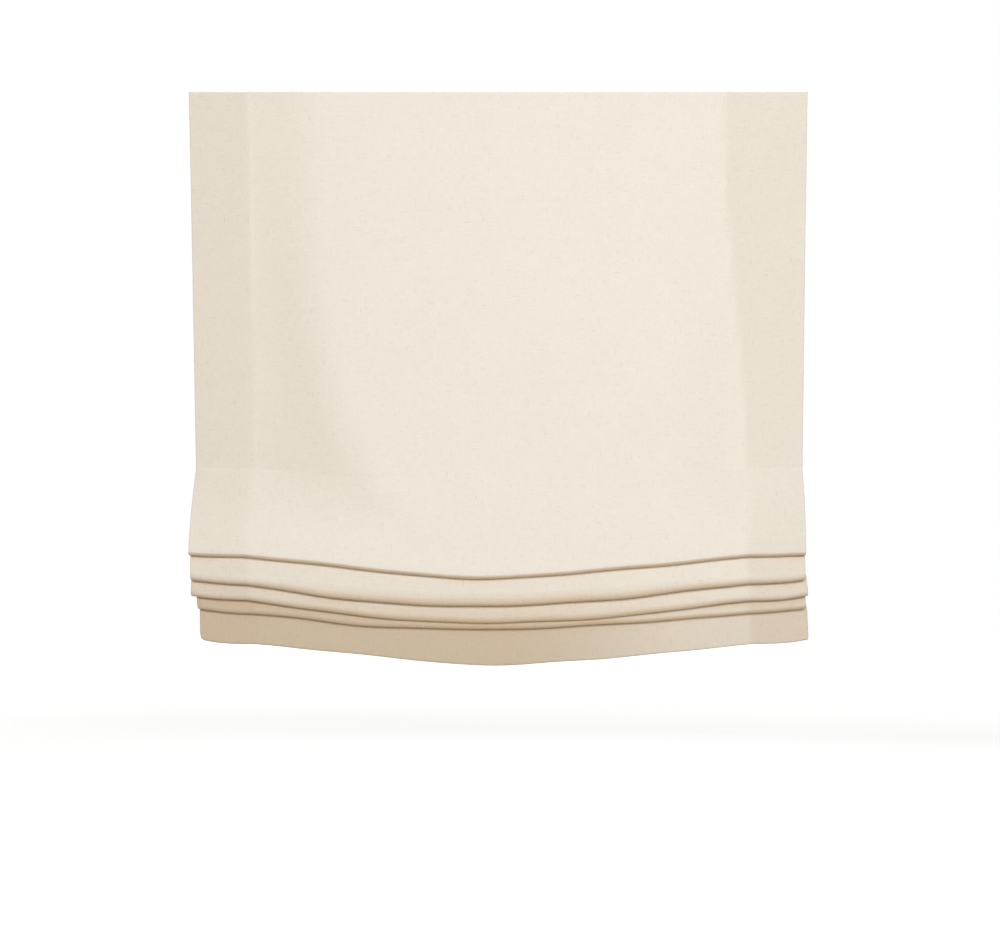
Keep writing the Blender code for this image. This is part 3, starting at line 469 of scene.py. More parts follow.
class ClothFall:
    # the fall of the cloth at one place across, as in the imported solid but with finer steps

    def __init__(self, x, fine):
        self.x = x
        self.fine = fine
        across = min(abs(x) / ringX, 1)
        outward = max(abs(x) - ringX, 0) / gathering["ringInset"]
        rounding = gathering["sagRounding"]
        dip = math.hypot(across, rounding) - rounding
        self.sag = 1 - dip / (math.hypot(1, rounding) - rounding)
        self.fullness = ease((ringX - abs(x)) / gathering["creaseFade"])
        self.gathers = [
            cloth["top"] - drop - self.sag * sag + outward**2 * rise
            for drop, sag, rise in zip(gathering["drops"], gathering["sags"], gathering["edgeRises"])
        ]

    def depth(self, loop):
        return folds["standoff"] + (loopCount - loop) * (2 * folds["radius"] + layerPitch)

    def reach(self, loop):
        return folds["ratio"] * self.depth(loop) + folds["run"] if loop else folds["firstShoulder"]

    def foldLine(self, loop, z):
        depth, reach = self.depth(loop), self.reach(loop)
        power = folds["power"] if loop else folds["firstPower"]
        left = 1 - min(max((self.gathers[loop] - z) / reach, 0.0), 1.0)
        return gatherY - depth * (1 - left**power), power * depth * left ** (power - 1) / reach

    def beside(self, loop, z, outer):
        y, slope = self.foldLine(loop, z)
        length = math.hypot(1, slope)
        front = (-1 / length, slope / length)
        face = 1 if outer else -1
        side = face * layerPitch / 2
        return (y + side * front[0], z + side * front[1], face * front[0], face * front[1])

    def drapeAt(self, z):
        # how far the panel stands forward of its plain fall
        x = self.x
        low = self.gathers[0] - drape["endBelow"]
        weight = ease((tapeEdge - z) / drape["fadeIn"]) * ease((z - low) / drape["fadeOut"])
        belly = ease((x + leftEdgeAt(z)) / drape["leftSoft"] + 0.5)
        belly *= drape["belly"] * ease((drape["rightEdge"] - x) / drape["rightSoft"] + 0.5)
        ripple = unevenAt(x, z, "ripple") + unevenAt(x, z, "crossRipple")
        inside = ease((halfWidth - abs(x)) / drape["edgeFade"])
        return weight * (belly + inside * ripple) + unevenAt(x, z, "crumple") * min(weight * 3, 1)

    def panelYAt(self, z):
        crease, reach = self.gathers[0], self.reach(0)
        fullY = self.beside(0, crease - reach, False)[0]
        if z >= crease:
            above = 1 - max(tapeEdge - z, 0) / (tapeEdge - crease)
            start = self.beside(0, crease, False)[0]
            creasedY = mix(start, panelY, above**3)
        else:
            creasedY = self.beside(0, z, False)[0]
        fall = min(max(tapeEdge - z, 0) / (tapeEdge - crease + reach), 1.0)
        power = folds["bellyPower"]
        roundY = mix(panelY, fullY, fall**power * (power + 1 - power * fall))
        return mix(creasedY, roundY, self.fullness) - self.drapeAt(z)

    def panelStation(self, z):
        step = 0.0015
        high = min(z + step, cloth["top"])
        slope = (self.panelYAt(high) - self.panelYAt(z - step)) / (high - z + step)
        length = math.hypot(1, slope)
        return (self.panelYAt(z), z, 1 / length, -slope / length)

    def shoulder(self, loop, shares):
        return [self.gathers[loop] - self.reach(loop) * share for share in shares]

    def heights(self, loop, bottom):
        # down the shoulder of a fold line, and straight on to the bottom
        found = self.shoulder(loop, self.fine["shoulder"])
        start, rows = found[-1], self.fine["straight"]
        return found + [mix(start, bottom, (row + 1) / rows) for row in range(rows)]

    def turn(self, y, z, radius, start, end, steps, tall=1.0):
        # a round turn; a radius below 0 has the cloth's back outside
        stations = []
        inward = -1 if radius > 0 else 1
        size = abs(radius)
        for step in range(1, steps):
            angle = mix(start, end, step / steps)
            cosine, sine = math.cos(angle), math.sin(angle)
            stations.append((y + size * cosine, z + size * tall * sine, inward * cosine, inward * sine))
        return stations

    def loopStations(self, loop, bottom, before):
        # before is the bottom of the loop in front, below which this one may swell
        swell = folds["teardrop"][loop]
        radius = folds["radius"] + swell
        tall = folds["tall"]
        centreZ = bottom + radius * tall
        start = before + folds["radius"] if loop else self.gathers[0] - folds["firstSwell"]
        stations = []
        for z in self.heights(loop, centreZ):
            y, zz, backY, backZ = self.beside(loop, z, False) if loop else self.panelStation(z)
            forward = 2 * swell * ease((start - z) / max(start - centreZ, 0.001))
            stations.append((y - forward, zz, backY, backZ))
        centreY = stations[-1][0] + radius
        stations += self.turn(centreY, centreZ, radius, math.pi, 2 * math.pi, self.fine["turn"], tall)
        stations += [self.beside(loop + 1, z, True) for z in self.heights(loop + 1, centreZ)[::-1]]
        y, slope = self.foldLine(loop + 1, self.gathers[loop + 1])
        angle = math.atan2(slope, -1)
        steps = self.fine["gather"]
        stations += self.turn(y, self.gathers[loop + 1], -layerPitch / 2, angle, angle - math.pi, steps)
        return stations

    def hang(self, loop):
        # the height of a loop's bottom, at which it holds its length of cloth
        length = gathering["ringPitch"] + self.sag * gathering["slips"][loop]
        high = self.gathers[loop + 1]
        low = high - gathering["ringPitch"]
        for _ in range(16):
            middle = (low + high) / 2
            if distances(self.plainLoop(loop, middle))[-1] > length:
                low = middle
            else:
                high = middle
        return (low + high) / 2

    def plainLoop(self, loop, bottom):
        # the loop without swell or drape, by which its length is measured
        centreZ = bottom + folds["radius"]
        fronts = [*self.shoulder(loop, folds["measuredShares"]), centreZ]
        backs = [*self.shoulder(loop + 1, folds["measuredShares"]), centreZ]
        stations = [self.beside(loop, z, False) for z in fronts]
        centreY = stations[-1][0] + folds["radius"]
        stations += self.turn(centreY, centreZ, folds["radius"], math.pi, 2 * math.pi, 4)
        stations += [self.beside(loop + 1, z, True) for z in backs[::-1]]
        return stations


def distances(places):
    # how far along each place lies from the first
    steps = (math.dist(a[:2], b[:2]) for a, b in zip(places, places[1:]))
    return list(itertools.accumulate(steps, initial=0.0))


unevenness = {
    # where the folds and the skirt hang lower than an even swag: place across, drop, reach
    0: ((-0.090, 0.0033, 0.30),),
    1: ((-0.232, 0.0065, 0.20), (-0.080, 0.0028, 0.16), (0.200, 0.0020, 0.12)),
    2: ((-0.165, 0.0058, 0.22), (0.185, 0.0042, 0.17)),
    3: ((-0.205, 0.0056, 0.15), (0.030, -0.0014, 0.22)),
    4: ((-0.045, 0.0030, 0.14),),
    # and slow waves in all of them: height, pace across, shift from one fold to the next
    "waves": ((0.0005, 19, 1.9), (0.0004, 43, 2.7)),
    "edgeFade": 0.03,
}


def waver(loop, x):
    # the fold lines aren't ruled straight
    wave = sum(height * math.sin(x * pace + loop * shift) for height, pace, shift in unevenness["waves"])
    wave -= sum(drop * bump(x - place, reach) for place, drop, reach in unevenness[loop])
    return wave * ease((halfWidth - abs(x)) / unevenness["edgeFade"])


# painted shade along the crevice where a loop comes out from behind the one before it
def creviceShadeAt(z, hidden):
    return folds["creviceShade"] * ease((z - hidden) / folds["creviceShadeReach"] + 1)


def insetAt(z, bottom, fade):
    return folds["backInset"] * ease((z - bottom) / fade)


def clothStations(x, fine, isLining):
    # stations down the cloth, and for each its level (0 at the top, 1 at the crease, then one
    # more at the bottom of each loop and of the skirt), its painted shade under a fold, and its inset
    fall = ClothFall(x, fine)
    crease = fall.gathers[0]
    first, *others = folds["creaseRows"]
    heights = [cloth["top"], cloth["top"] / 2, tapeEdge]
    rows = fine["panel"]
    heights += [mix(tapeEdge, crease + first, row / rows) for row in range(1, rows + 1)]
    heights += [crease + above for above in others]
    stations = [fall.panelStation(z) for z in heights]
    marks = [((cloth["top"] - z) / (cloth["top"] - crease), 0.0, 0.0) for z in heights]
    hidden = 0.0
    for loop in range(loopCount):
        bottom = fall.hang(loop) + waver(loop, x)
        part = fall.loopStations(loop, bottom, hidden)
        start = fall.gathers[loop]
        shade = folds["underShade"][loop] * mix(folds["underEdge"], 1, fall.sag**0.5)
        stations += part
        passed = False
        for _, z, _, _ in part:
            share = (start - z) / (start - bottom)
            passed = passed or share > folds["turnShare"]
            if passed:
                # painted shade up the back of the turn
                paintedFoldShade = ease(1 - (z - bottom) / folds["backShade"])
                marks.append((loop + 2, paintedFoldShade, insetAt(z, bottom, folds["backFade"])))
            else:
                # painted shade above the bottom, and in the crevice below the loop in front
                paintedFoldShade = folds["underDepth"][loop] * ease(1 - (z - bottom) / shade)
                inset = 0.0
                if loop:
                    paintedFoldShade = max(paintedFoldShade, creviceShadeAt(z, hidden))
                    inset = insetAt(z, hidden, folds["frontFade"])
                marks.append((loop + 1 + max(share, 0), paintedFoldShade, inset))
        hidden = bottom
    hemRadius = cloth["bottomRadius"]
    start = fall.gathers[loopCount]
    bottom = start - gathering["skirt"] + hemRadius + waver(loopCount, x)
    corner = max(abs(x) - (halfWidth - edges["cornerRadius"]), 0) / edges["cornerRadius"]
    if x < 0:
        bottom += edges["cornerRadius"] * (1 - math.sqrt(max(1 - corner**2, 0)))
    end = bottom + (cloth["liningShort"] if isLining else 0)
    part = [fall.beside(loopCount, z, False) for z in fall.heights(loopCount, end)]
    if not isLining:
        y, z = part[-1][:2]
        part += fall.turn(y + hemRadius, z, hemRadius, math.pi, 2 * math.pi, fine["turn"])
        rows = cloth["bottomHemRows"]
        rises = [cloth["bottomHem"] * row / (rows - 1) for row in range(rows)]
        part += [(y + 2 * hemRadius, z + rise, -1.0, 0.0) for rise in rises]
    stations += part
    for _, z, _, _ in part:
        share = min(max((start - z) / (start - bottom), 0), 1)
        inset = insetAt(z, hidden, folds["frontFade"])
        marks.append((loopCount + 1 + share, creviceShadeAt(z, hidden), inset))
    return stations, marks


def edgeShift(x, level):
    index = min(int(level), len(edges["left"]) - 2)
    left, right = (
        mix(edges[side][index], edges[side][index + 1], level - index) for side in ("left", "right")
    )
    return mix(left, -right, (x + halfWidth) / cloth["width"])


def placeOf(x, offset, station, mark):
    # where a column's station stands, offset behind the cloth's middle
    y, z, backY, backZ = station
    level, _, inset = mark
    shift = edgeShift(x, level) - inset * x / halfWidth
    return (x + shift, y + offset * backY, z + offset * backZ)


tones = {
    # painted light and shade: 0 where one layer lets the window's light through, 1 where many lie behind
    "leftHem": 0.12,
    "rightHem": 0.19,
    "hemSoft": 0.010,
    "rightHemSlant": 0.036,
    # the panel's painted shade outside the belly on the left, and the height where it ends
    "leftShade": 0.15,
    "leftShadeSoft": 0.10,
    "leftShadeOut": 0.03,
    "leftShadeEnd": -0.66,
    # a pale line beside the left hem
    "hemLine": 0.06,
    "hemLineIn": 0.006,
    "hemLineWidth": 0.008,
    "hemLineEnd": -0.42,
    # painted light below the crease
    "creaseLighter": 0.16,
    "creaseSpread": 0.8,
    # painted shade: the level at which each lower part turns darker, and by how much
    "steps": ((2.03, 0.15), (3.03, 0.27), (4.03, 0.50), (5.03, 0.04)),
    "stepSoft": 0.06,
    # painted light, stronger towards the right
    "rightLighter": 0.52,
    "rightReach": 0.32,
    # painted shade on all that lies behind the front layer
    "back": 0.22,
}


# painted light and shade on the cloth's front layer
def paintedShadeAt(x, z, level):
    hemEdge = halfWidth - cloth["sideHem"]
    if x > 0:
        hemEdge -= tones["rightHemSlant"] * ease((z + 0.55) / 0.5)
    tone = tones["rightHem" if x > 0 else "leftHem"] * ease((abs(x) - hemEdge) / tones["hemSoft"] + 0.5)
    outside = ease(0.5 - (x + leftEdgeAt(z) - tones["leftShadeOut"]) / tones["leftShadeSoft"])
    tone += tones["leftShade"] * outside * ease((z - tones["leftShadeEnd"]) / 0.10)
    line = bump(x + hemEdge - tones["hemLineIn"], tones["hemLineWidth"])
    tone -= tones["hemLine"] * line * ease((z - tones["hemLineEnd"]) / 0.2)
    if level >= 1:
        spread = ease((ringX - abs(x)) / gathering["creaseFade"]) * tones["creaseSpread"]
        tone -= tones["creaseLighter"] * (1 - spread) * ease(2 - level)
    lit = 1 - tones["rightLighter"] * ease(x / tones["rightReach"])
    for step, amount in tones["steps"]:
        tone += amount * lit * ease((level - step) / tones["stepSoft"] + 0.5)
    return min(max(tone, 0.0), 1.0)


def makeSheet(columns, fine, isLining, thickness):
    # a grid primitive whose points are moved on to the fall, with cloth metres as its UV map
    falls = {x: clothStations(x, fine, isLining) for x in {x for x, _ in columns}}
    runs = {x: distances(stations) for x, (stations, _) in falls.items()}
    across = distances(columns)
    rows = len(runs[columns[0][0]])
    hemTurn = rows - 2 - cloth["bottomHemRows"]
    deselectAll()
    bpy.ops.mesh.primitive_grid_add(x_subdivisions=len(columns) - 1, y_subdivisions=rows - 1, size=1)
    obj = bpy.context.object
    mesh = obj.data
    metres, paintedShade, paintedFoldShades = [], [], []
    for vertex in mesh.vertices:
        column = round((vertex.co.x + 0.5) * (len(columns) - 1))
        row = round((0.5 - vertex.co.y) * (rows - 1))
        x, offset = columns[column]
        stations, marks = falls[x]
        level, paintedFoldShade, _ = marks[row]
        vertex.co = placeOf(x, offset, stations[row], marks[row])
        metres.append((across[column], runs[x][row]))
        # painted shade: parts behind the front layer take one even darker tone, the lining none
        behind = offset > hemOffset / 2 or level > loopCount and row > hemTurn
        shown = not (isLining or behind)
        hiddenShadeTone = 0.0 if isLining else tones["back"]
        paintedShade.append(paintedShadeAt(x, stations[row][1], level) if shown else hiddenShadeTone)
        paintedFoldShades.append(paintedFoldShade if shown else 0.0)
    uvLayer = mesh.uv_layers.new(name="clothMetres")
    for loop in mesh.loops:
        uvLayer.data[loop.index].uv = metres[loop.vertex_index]
    for label, values in (("paintedShade", paintedShade), ("paintedFoldShade", paintedFoldShades)):
        attribute = mesh.attributes.new(label, "FLOAT", "POINT")
        attribute.data.foreach_set("value", values)
    modifier = obj.modifiers.new("thickness", "SOLIDIFY")
    modifier.thickness = thickness
    modifier.offset = 0
    applyAll(obj)
    return obj


faceRows = {
    "across": 54,
    "panel": 44,
    "shoulder": (0.0, 0.02, 0.06, 0.12, 0.20, 0.30, 0.42, 0.56, 0.72, 0.86, 1.0),
    "straight": 7,
    "turn": 9,
    "gather": 4,
}
backRows = {
    "across": 30,
    "panel": 24,
    "shoulder": (0.0, 0.06, 0.14, 0.28, 0.42, 0.7, 1.0),
    "straight": 4,
    "turn": 5,
    "gather": 4,
}


def frontColumns(count, edge):
    # closer together towards both edges
    crowding = 0.9
    half = [edge * math.sin(math.pi / 2 * step / count) ** crowding for step in range(1, count + 1)]
    return [-x for x in half[::-1]] + [0.0] + half


def makeFaceCloth():
    turn = hemOffset / 2
    front = frontColumns(faceRows["across"], halfWidth - turn)
    flapInner = halfWidth - cloth["sideHem"]
    outer = [x for x in front if x > flapInner + 0.002]
    flap = [(x, hemOffset) for x in outer[::-1]] + [(flapInner, hemOffset)]
    right = [(halfWidth, turn), *flap]
    columns = [(-x, offset) for x, offset in right[::-1]] + [(x, 0.0) for x in front] + right
    obj = makeSheet(columns, faceRows, False, cloth["thickness"])
    dress(obj, "linenFace", "shade", linen, 60)
    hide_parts("face_cloth")
    return obj


def makeLining():
    columns = [(x, liningOffset) for x in frontColumns(backRows["across"], liningEdge)]
    obj = makeSheet(columns, backRows, True, cloth["liningThickness"])
    dress(obj, "cottonLining", "shade", liningCloth, 60)
    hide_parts("lining")
    return obj


faceCloth = makeFaceCloth()
print("face cloth:", len(faceCloth.data.polygons), "faces")
liningSheet = makeLining()
print("lining:", len(liningSheet.data.polygons), "faces")


# turned and wound hardware

def turned(profile, sides, hollow):
    # a circle extruded from station to station of (radius, height), closed at both ends,
    # or back on to its first circle where it is hollow
    deselectAll()
    bpy.ops.mesh.primitive_circle_add(vertices=sides, radius=profile[0][0], location=(0, 0, profile[0][1]))
    obj = bpy.context.object
    bpy.ops.object.transform_apply()
    bpy.ops.object.mode_set(mode="EDIT")
    bpy.ops.mesh.select_all(action="SELECT")
    if not hollow:
        bpy.ops.mesh.edge_face_add()
    stops = [*profile, profile[0]] if hollow else profile
    for (radius, height), (nextRadius, nextHeight) in zip(stops, stops[1:]):
        bpy.ops.mesh.extrude_region_move(TRANSFORM_OT_translate={"value": (0, 0, nextHeight - height)})
        scale = nextRadius / radius
        bpy.ops.transform.resize(value=(scale, scale, 1), center_override=(0, 0, nextHeight))
    bpy.ops.mesh.select_all(action="SELECT")
    bpy.ops.mesh.remove_doubles(threshold=0.000001)
    bpy.ops.mesh.normals_make_consistent()
    bpy.ops.object.mode_set(mode="OBJECT")
    return obj


def put(obj, place, turn=(0, 0, 0)):
    obj.location = place
    obj.rotation_euler = turn
    applyAll(obj)
    return obj


def copyTo(obj, place, turn=(0, 0, 0)):
    return put(copyOf(obj), place, turn)


def cordMesh(points, radius, sides=3):
    # a smooth run through the points, turned into a mesh
    curve = bpy.data.curves.new("cord", "CURVE")
    curve.dimensions = "3D"
    spline = curve.splines.new("POLY")
    spline.points.add(len(points) - 1)
    for point, place in zip(spline.points, points):
        point.co = (*place, 1)
    curve.bevel_depth = radius
    curve.bevel_resolution = sides
    curve.use_fill_caps = True
    makeActive(newObject("cord", curve))
    bpy.ops.object.convert(target="MESH")
    return bpy.context.object


def centreOf(nodeName):
    low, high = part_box(nodeName)
    return (low + high) / 2


def roundShaft(shaft, x, radius, angle):
    return (x, shaft.y + radius * math.cos(angle), shaft.z + radius * math.sin(angle))


lift = {
    "spoolBarrel": 0.0098,
    "spoolFlange": 0.0145,
    "spoolWidth": 0.028,
    "flangeThickness": 0.0016,
    "hubRadius": 0.0055,
    "boreRadius": 0.0037,
    "spoolLength": 0.0398,
    "spoolRounding": 0.0005,
    "barrelRounding": 0.0006,
    "cordRadius": 0.0007,
    "woundTurns": 13,
    "turnSteps": 28,
    "crossTurns": 0.75,
    "crossSteps": 21,
    "crossClear": 0.0004,
    "hangingSteps": 40,
    "ringRadius": 0.0057,
    "ringWire": 0.0008,
    "orbRadius": 0.006,
    "orbFlat": 0.94,
    "orbGroove": 0.0005,
    "orbSteps": 12,
    "barRadius": 0.003,
    "barChamfer": 0.0004,
}


def whitePair(source, start, name, body, turn=(0, 0, 0)):
    # a left and a right copy in white plastic
    for hand in ("left", "right"):
        node = start + hand
        obj = copyTo(source, centreOf(node), turn)
        dress(obj, name + hand, body, whitePlastic, 35)
        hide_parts(node)
    discard(source)


def makeSpools():
    half, flange = lift["spoolWidth"] / 2, lift["flangeThickness"]
    rim, barrel, end = lift["spoolFlange"], lift["spoolBarrel"], lift["spoolLength"] / 2
    hub, bore = lift["hubRadius"], lift["boreRadius"]
    edge, fillet = lift["spoolRounding"], lift["barrelRounding"]
    side = [(bore, -end), (hub - edge, -end), (hub, -end + edge), (hub, -half - flange)]
    side += [(rim - edge, -half - flange), (rim, -half - flange + edge), (rim, -half - edge)]
    side += [(rim - edge, -half), (barrel + fillet, -half), (barrel, -half + fillet)]
    profile = side + [(radius, -height) for radius, height in side[::-1]]
    whitePair(turned(profile, 48, True), "lift_spool_", "spool_", "lift_shaft", (0, math.pi / 2, 0))


def crossOver(hand):
    # the last three quarters of a turn, from the winding's end over to the hanging cord
    shaft = centreOf("lift_spool_" + hand)
    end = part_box("wound_cord_" + hand)[0].x + lift["cordRadius"]
    hangX = centreOf("lift_cord_" + hand).x
    near = lift["spoolBarrel"] + lift["cordRadius"] + lift["crossClear"]
    points = []
    for step in range(lift["crossSteps"] + 1):
        share = step / lift["crossSteps"]
        angle = math.pi * (1 - 2 * lift["crossTurns"] * (1 - share))
        away = mix(near, shaft.y - cordY, ease(share * 2))
        points.append(roundShaft(shaft, mix(end, hangX, ease(share)), away, angle))
    return points


def woundPoints(hand):
    # a single layer on the barrel
    low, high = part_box("wound_cord_" + hand)
    shaft = centreOf("lift_spool_" + hand)
    radius, turns = lift["spoolBarrel"] + lift["cordRadius"], lift["woundTurns"]
    start, end = high.x - lift["cordRadius"], low.x + lift["cordRadius"]
    total = turns * lift["turnSteps"]
    points = []
    for step in range(total + 1):
        angle = math.pi - 2 * math.pi * (turns + lift["crossTurns"] - step / lift["turnSteps"])
        points.append(roundShaft(shaft, mix(start, end, step / total), radius, angle))
    return points


knot = {
    # an overhand knot under the orb, and its short tail
    "below": 0.0022,
    "steps": 24,
    "turns": 1.5,
    "height": 0.0016,
    "fall": 0.0008,
    "radius": 0.0013,
    "flatness": 0.7,
    # steps, where it starts below, and how far out each step goes
    "tail": (4, 0.001, 0.0006),
}


def liftPoints(hand):
    low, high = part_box("lift_cord_" + hand)
    x, y, _ = (low + high) / 2
    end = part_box("cord_orb_" + hand)[0].z - knot["below"]
    points, steps = crossOver(hand), lift["hangingSteps"]
    points += [(x, y, mix(high.z, end, step / steps)) for step in range(1, steps + 1)]
    for step in range(1, knot["steps"] + 1):
        share = step / knot["steps"]
        angle = 2 * math.pi * share * knot["turns"]
        drop = knot["height"] * math.sin(angle / 2) - knot["fall"] * share
        around = knot["radius"] * math.sin(math.pi * share)
        forward = around * (1 - math.cos(angle)) * knot["flatness"]
        points.append((x + around * math.sin(angle), y + forward, end + drop))
    steps, start, out = knot["tail"]
    for step in range(1, steps + 1):
        points.append((x + out * step, y, mix(end - start, low.z, step / steps)))
    return points


def makeCords():
    for start, name, body, makePoints in (
        ("wound_cord_", "woundTurns_", "lift_shaft", woundPoints),
        ("lift_cord_", "liftCord_", "shade", liftPoints),
    ):
        for hand in ("left", "right"):
            obj = cordMesh(makePoints(hand), lift["cordRadius"])
            dress(obj, name + hand, body, braidedCord, 60)
            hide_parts(start + hand)


tacking = {
    # wraps of thread that hold a ring to the lining
    "wraps": 5,
    "spacing": math.radians(9),
    "slant": math.radians(6),
    "thread": 0.00022,
    "clear": 0.00036,
    "out": 0.00025,
}


def makeRings():
    radius, wire = lift["ringRadius"], lift["ringWire"]
    bpy.ops.mesh.primitive_torus_add(
        major_segments=40, minor_segments=12, major_radius=radius, minor_radius=wire
    )
    ring = bpy.context.object
    away = radius + tacking["out"]
    wraps = []
    for index in range(tacking["wraps"]):
        angle = -math.pi / 2 + (index - (tacking["wraps"] - 1) / 2) * tacking["spacing"]
        bpy.ops.mesh.primitive_torus_add(
            major_segments=18,
            minor_segments=6,
            major_radius=wire + tacking["clear"],
            minor_radius=tacking["thread"],
            location=(away * math.cos(angle), away * math.sin(angle), 0),
            rotation=(math.pi / 2, tacking["slant"] * (-1) ** index, angle + math.pi),
        )
        wraps.append(bpy.context.object)
    thread = joinAll(wraps)
    bpy.ops.object.transform_apply()
    for node in [name for name in nodes if name.startswith("ring_")]:
        place = centreOf(node)
        label = node[len("ring_"):]
        obj = copyTo(ring, place)
        dress(obj, "liftRing_" + label, "shade", ringPlastic, 60)
        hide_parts(node)
        tack = copyTo(thread, place)
        dress(tack, "ringTack_" + label, "shade", stitchThread, 60)
    discard(ring)
    discard(thread)


def makeOrbs():
    radius, bore, groove = lift["orbRadius"], lift["cordRadius"] + 0.0002, lift["orbGroove"]
    flat, steps = radius * lift["orbFlat"], lift["orbSteps"]
    profile = [(bore, -flat)]
    for step in range(1, steps):
        angle = math.pi * step / steps
        if step == steps // 2:
            profile += [(radius, -groove), (radius - groove, -groove * 0.6)]
            profile += [(radius - groove, groove * 0.6), (radius, groove)]
        else:
            profile.append((radius * math.sin(angle), max(min(-radius * math.cos(angle), flat), -flat)))
    profile.append((bore, flat))
    whitePair(turned(profile, 40, True), "cord_orb_", "orb_", "shade")


capShape = {
    "clear": 0.00015,
    "depth": 0.0076,
    "chamfer": 0.0004,
    "ribs": 4,
    "ribStart": 0.0010,
    "ribPitch": 0.0020,
    # a rib's points: lowered or not, and how far along
    "rib": ((0, -0.0004), (0, 0.0006), (1, 0.0009), (1, 0.0013)),
    "ribsEnd": 0.0086,
    # the closed end's points: how far in, and how far from the end
    "nose": ((0, 0.0016), (0.0005, 0.0005), (0.0016, 0)),
    "closed": 0.0002,
    "drill": 0.0003,
}


def makeSpreader():
    low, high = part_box("spreader_bar")
    half, radius, edge = (high.x - low.x) / 2, lift["barRadius"], lift["barChamfer"]
    profile = [(radius - edge, -half), (radius, -half + edge), (radius, half - edge), (radius - edge, half)]
    bar = put(turned(profile, 32, False), centreOf("spreader_bar"), (0, math.pi / 2, 0))
    dress(bar, "spreaderRod", "shade", aluminiumRod, 35)
    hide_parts("spreader_bar")
    socket, edge, closed = radius + capShape["clear"], capShape["chamfer"], capShape["closed"]
    for hand, way in (("left", -1), ("right", 1)):
        node = "spreader_cap_" + hand
        low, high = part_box(node)
        wide, end = (high.y - low.y) / 2, (high.x - low.x) / 2
        deep = capShape["depth"] - end
        profile = [(socket, deep), (socket, -end), (wide - edge, -end)]
        for rib in range(capShape["ribs"]):
            start = capShape["ribStart"] + rib * capShape["ribPitch"] - end
            profile += [(wide - edge * lower, start + along) for lower, along in capShape["rib"]]
        profile.append((wide, capShape["ribsEnd"] - end))
        profile += [(wide - inward, end - before) for inward, before in capShape["nose"]]
        profile += [(closed, end), (closed, deep)]
        cap = put(turned(profile, 40, True), (0, 0, 0), (0, way * math.pi / 2, 0))
        drillRadius = lift["cordRadius"] + capShape["drill"]
        bpy.ops.mesh.primitive_cylinder_add(vertices=20, radius=drillRadius, depth=0.02)
        drill = bpy.context.object
        drill.location.x = abs(centreOf("lift_cord_" + hand).x) * way - centreOf(node).x
        cutWith(cap, drill)
        put(cap, centreOf(node))
        dress(cap, "spreaderCap_" + hand, "shade", whitePlastic, 35)
        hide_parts(node)


screw = {
    "radius": 0.002,
    "core": 0.74,
    "head": 0.004,
    "headHeight": 0.0024,
    # the head's outline as shares of its radius and height
    "headShares": ((0.55, 0), (0.82, 0.12), (0.96, 0.40), (1, 0.72), (1, 1)),
    "length": 0.015,
    "point": 0.004,
    "pitch": 0.0012,
    "turnSteps": 16,
    "threadFrom": 0.0006,
    "threadShort": 0.001,
    # the recess: share of the head's radius, width, depth
    "recess": (1.05, 0.0009, 0.0013),
}


def makeScrews():
    # pan heads with a cross recess, and a thread wound round the shank; the shank points up
    head, height, radius = screw["head"], screw["headHeight"], screw["radius"]
    core, end = radius * screw["core"], height + screw["length"]
    profile = [(head * out, height * up) for out, up in screw["headShares"]]
    profile += [(core, height), (core, end - screw["point"]), (0.0002, end)]
    shank = turned(profile, 36, False)
    reach, width, depth = screw["recess"]
    for quarter in (1, 3):
        bpy.ops.mesh.primitive_cube_add(size=1, rotation=(0, 0, quarter * math.pi / 4))
        blade = bpy.context.object
        blade.scale = (head * reach, width, depth * 2)
        cutWith(shank, blade)
    steps = screw["turnSteps"]
    points = []
    for step in range(int((screw["length"] - screw["threadShort"]) / screw["pitch"] * steps)):
        angle = 2 * math.pi * step / steps
        z = height + screw["threadFrom"] + screw["pitch"] * step / steps
        away = core * min(1.0, (end - z) / screw["point"])
        points.append((away * math.cos(angle), away * math.sin(angle), z))
    shank = joinAll([shank, cordMesh(points, radius - core, 1)])
    for node in [name for name in nodes if "_screw_" in name]:
        middle = centreOf(node)
        place = (middle.x, middle.y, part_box(node)[0].z)
        obj = copyTo(shank, place, (0, 0, middle.x * 9))
        dress(obj, "panScrew_" + node, "shade", zincSteel, 35)
        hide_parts(node)
    discard(shank)


makeSpools()
makeCords()
makeRings()
makeOrbs()
makeSpreader()
makeScrews()
print("hardware ready")


# hand stitches on the back

stitches = {
    "pitch": 0.012,
    "length": 0.004,
    "slant": 0.8,
    "radius": 0.00028,
    "rows": 30,
}


def backPoints(x, offset, fine):
    # places down the back of the lining at one column
    stations, marks = clothStations(x, fine, True)
    return [Vector(placeOf(x, offset, station, mark)) for station, mark in zip(stations, marks)]


def alongRun(places, pitch):
    # evenly spaced places down a run, with the way it goes there
    found = []
    left = pitch
    for a, b in zip(places, places[1:]):
        length = (b - a).length
        while left <= length:
            found.append((a.lerp(b, left / length), (b - a).normalized()))
            left += pitch
        left -= length
    return found


def makeStitches():
    fine = {**backRows, "panel": stitches["rows"]}
    bpy.ops.mesh.primitive_cylinder_add(vertices=6, radius=stitches["radius"], depth=1)
    bar = bpy.context.object
    for hand, way in (("left", -1), ("right", 1)):
        parts = []
        for place, along in alongRun(backPoints(way * liningEdge, clothBack, fine), stitches["pitch"]):
            slant = Vector((way * stitches["slant"], 0, 0)) + along
            slant.normalize()
            stitch = copyOf(bar)
            stitch.rotation_mode = "QUATERNION"
            stitch.rotation_quaternion = slant.to_track_quat("Z", "Y")
            stitch.scale = (1, 1, stitches["length"])
            stitch.location = place
            parts.append(stitch)
        obj = joinAll(parts)
        applyAll(obj)
        dress(obj, "slipStitches_" + hand, "shade", stitchThread, 60)
    discard(bar)


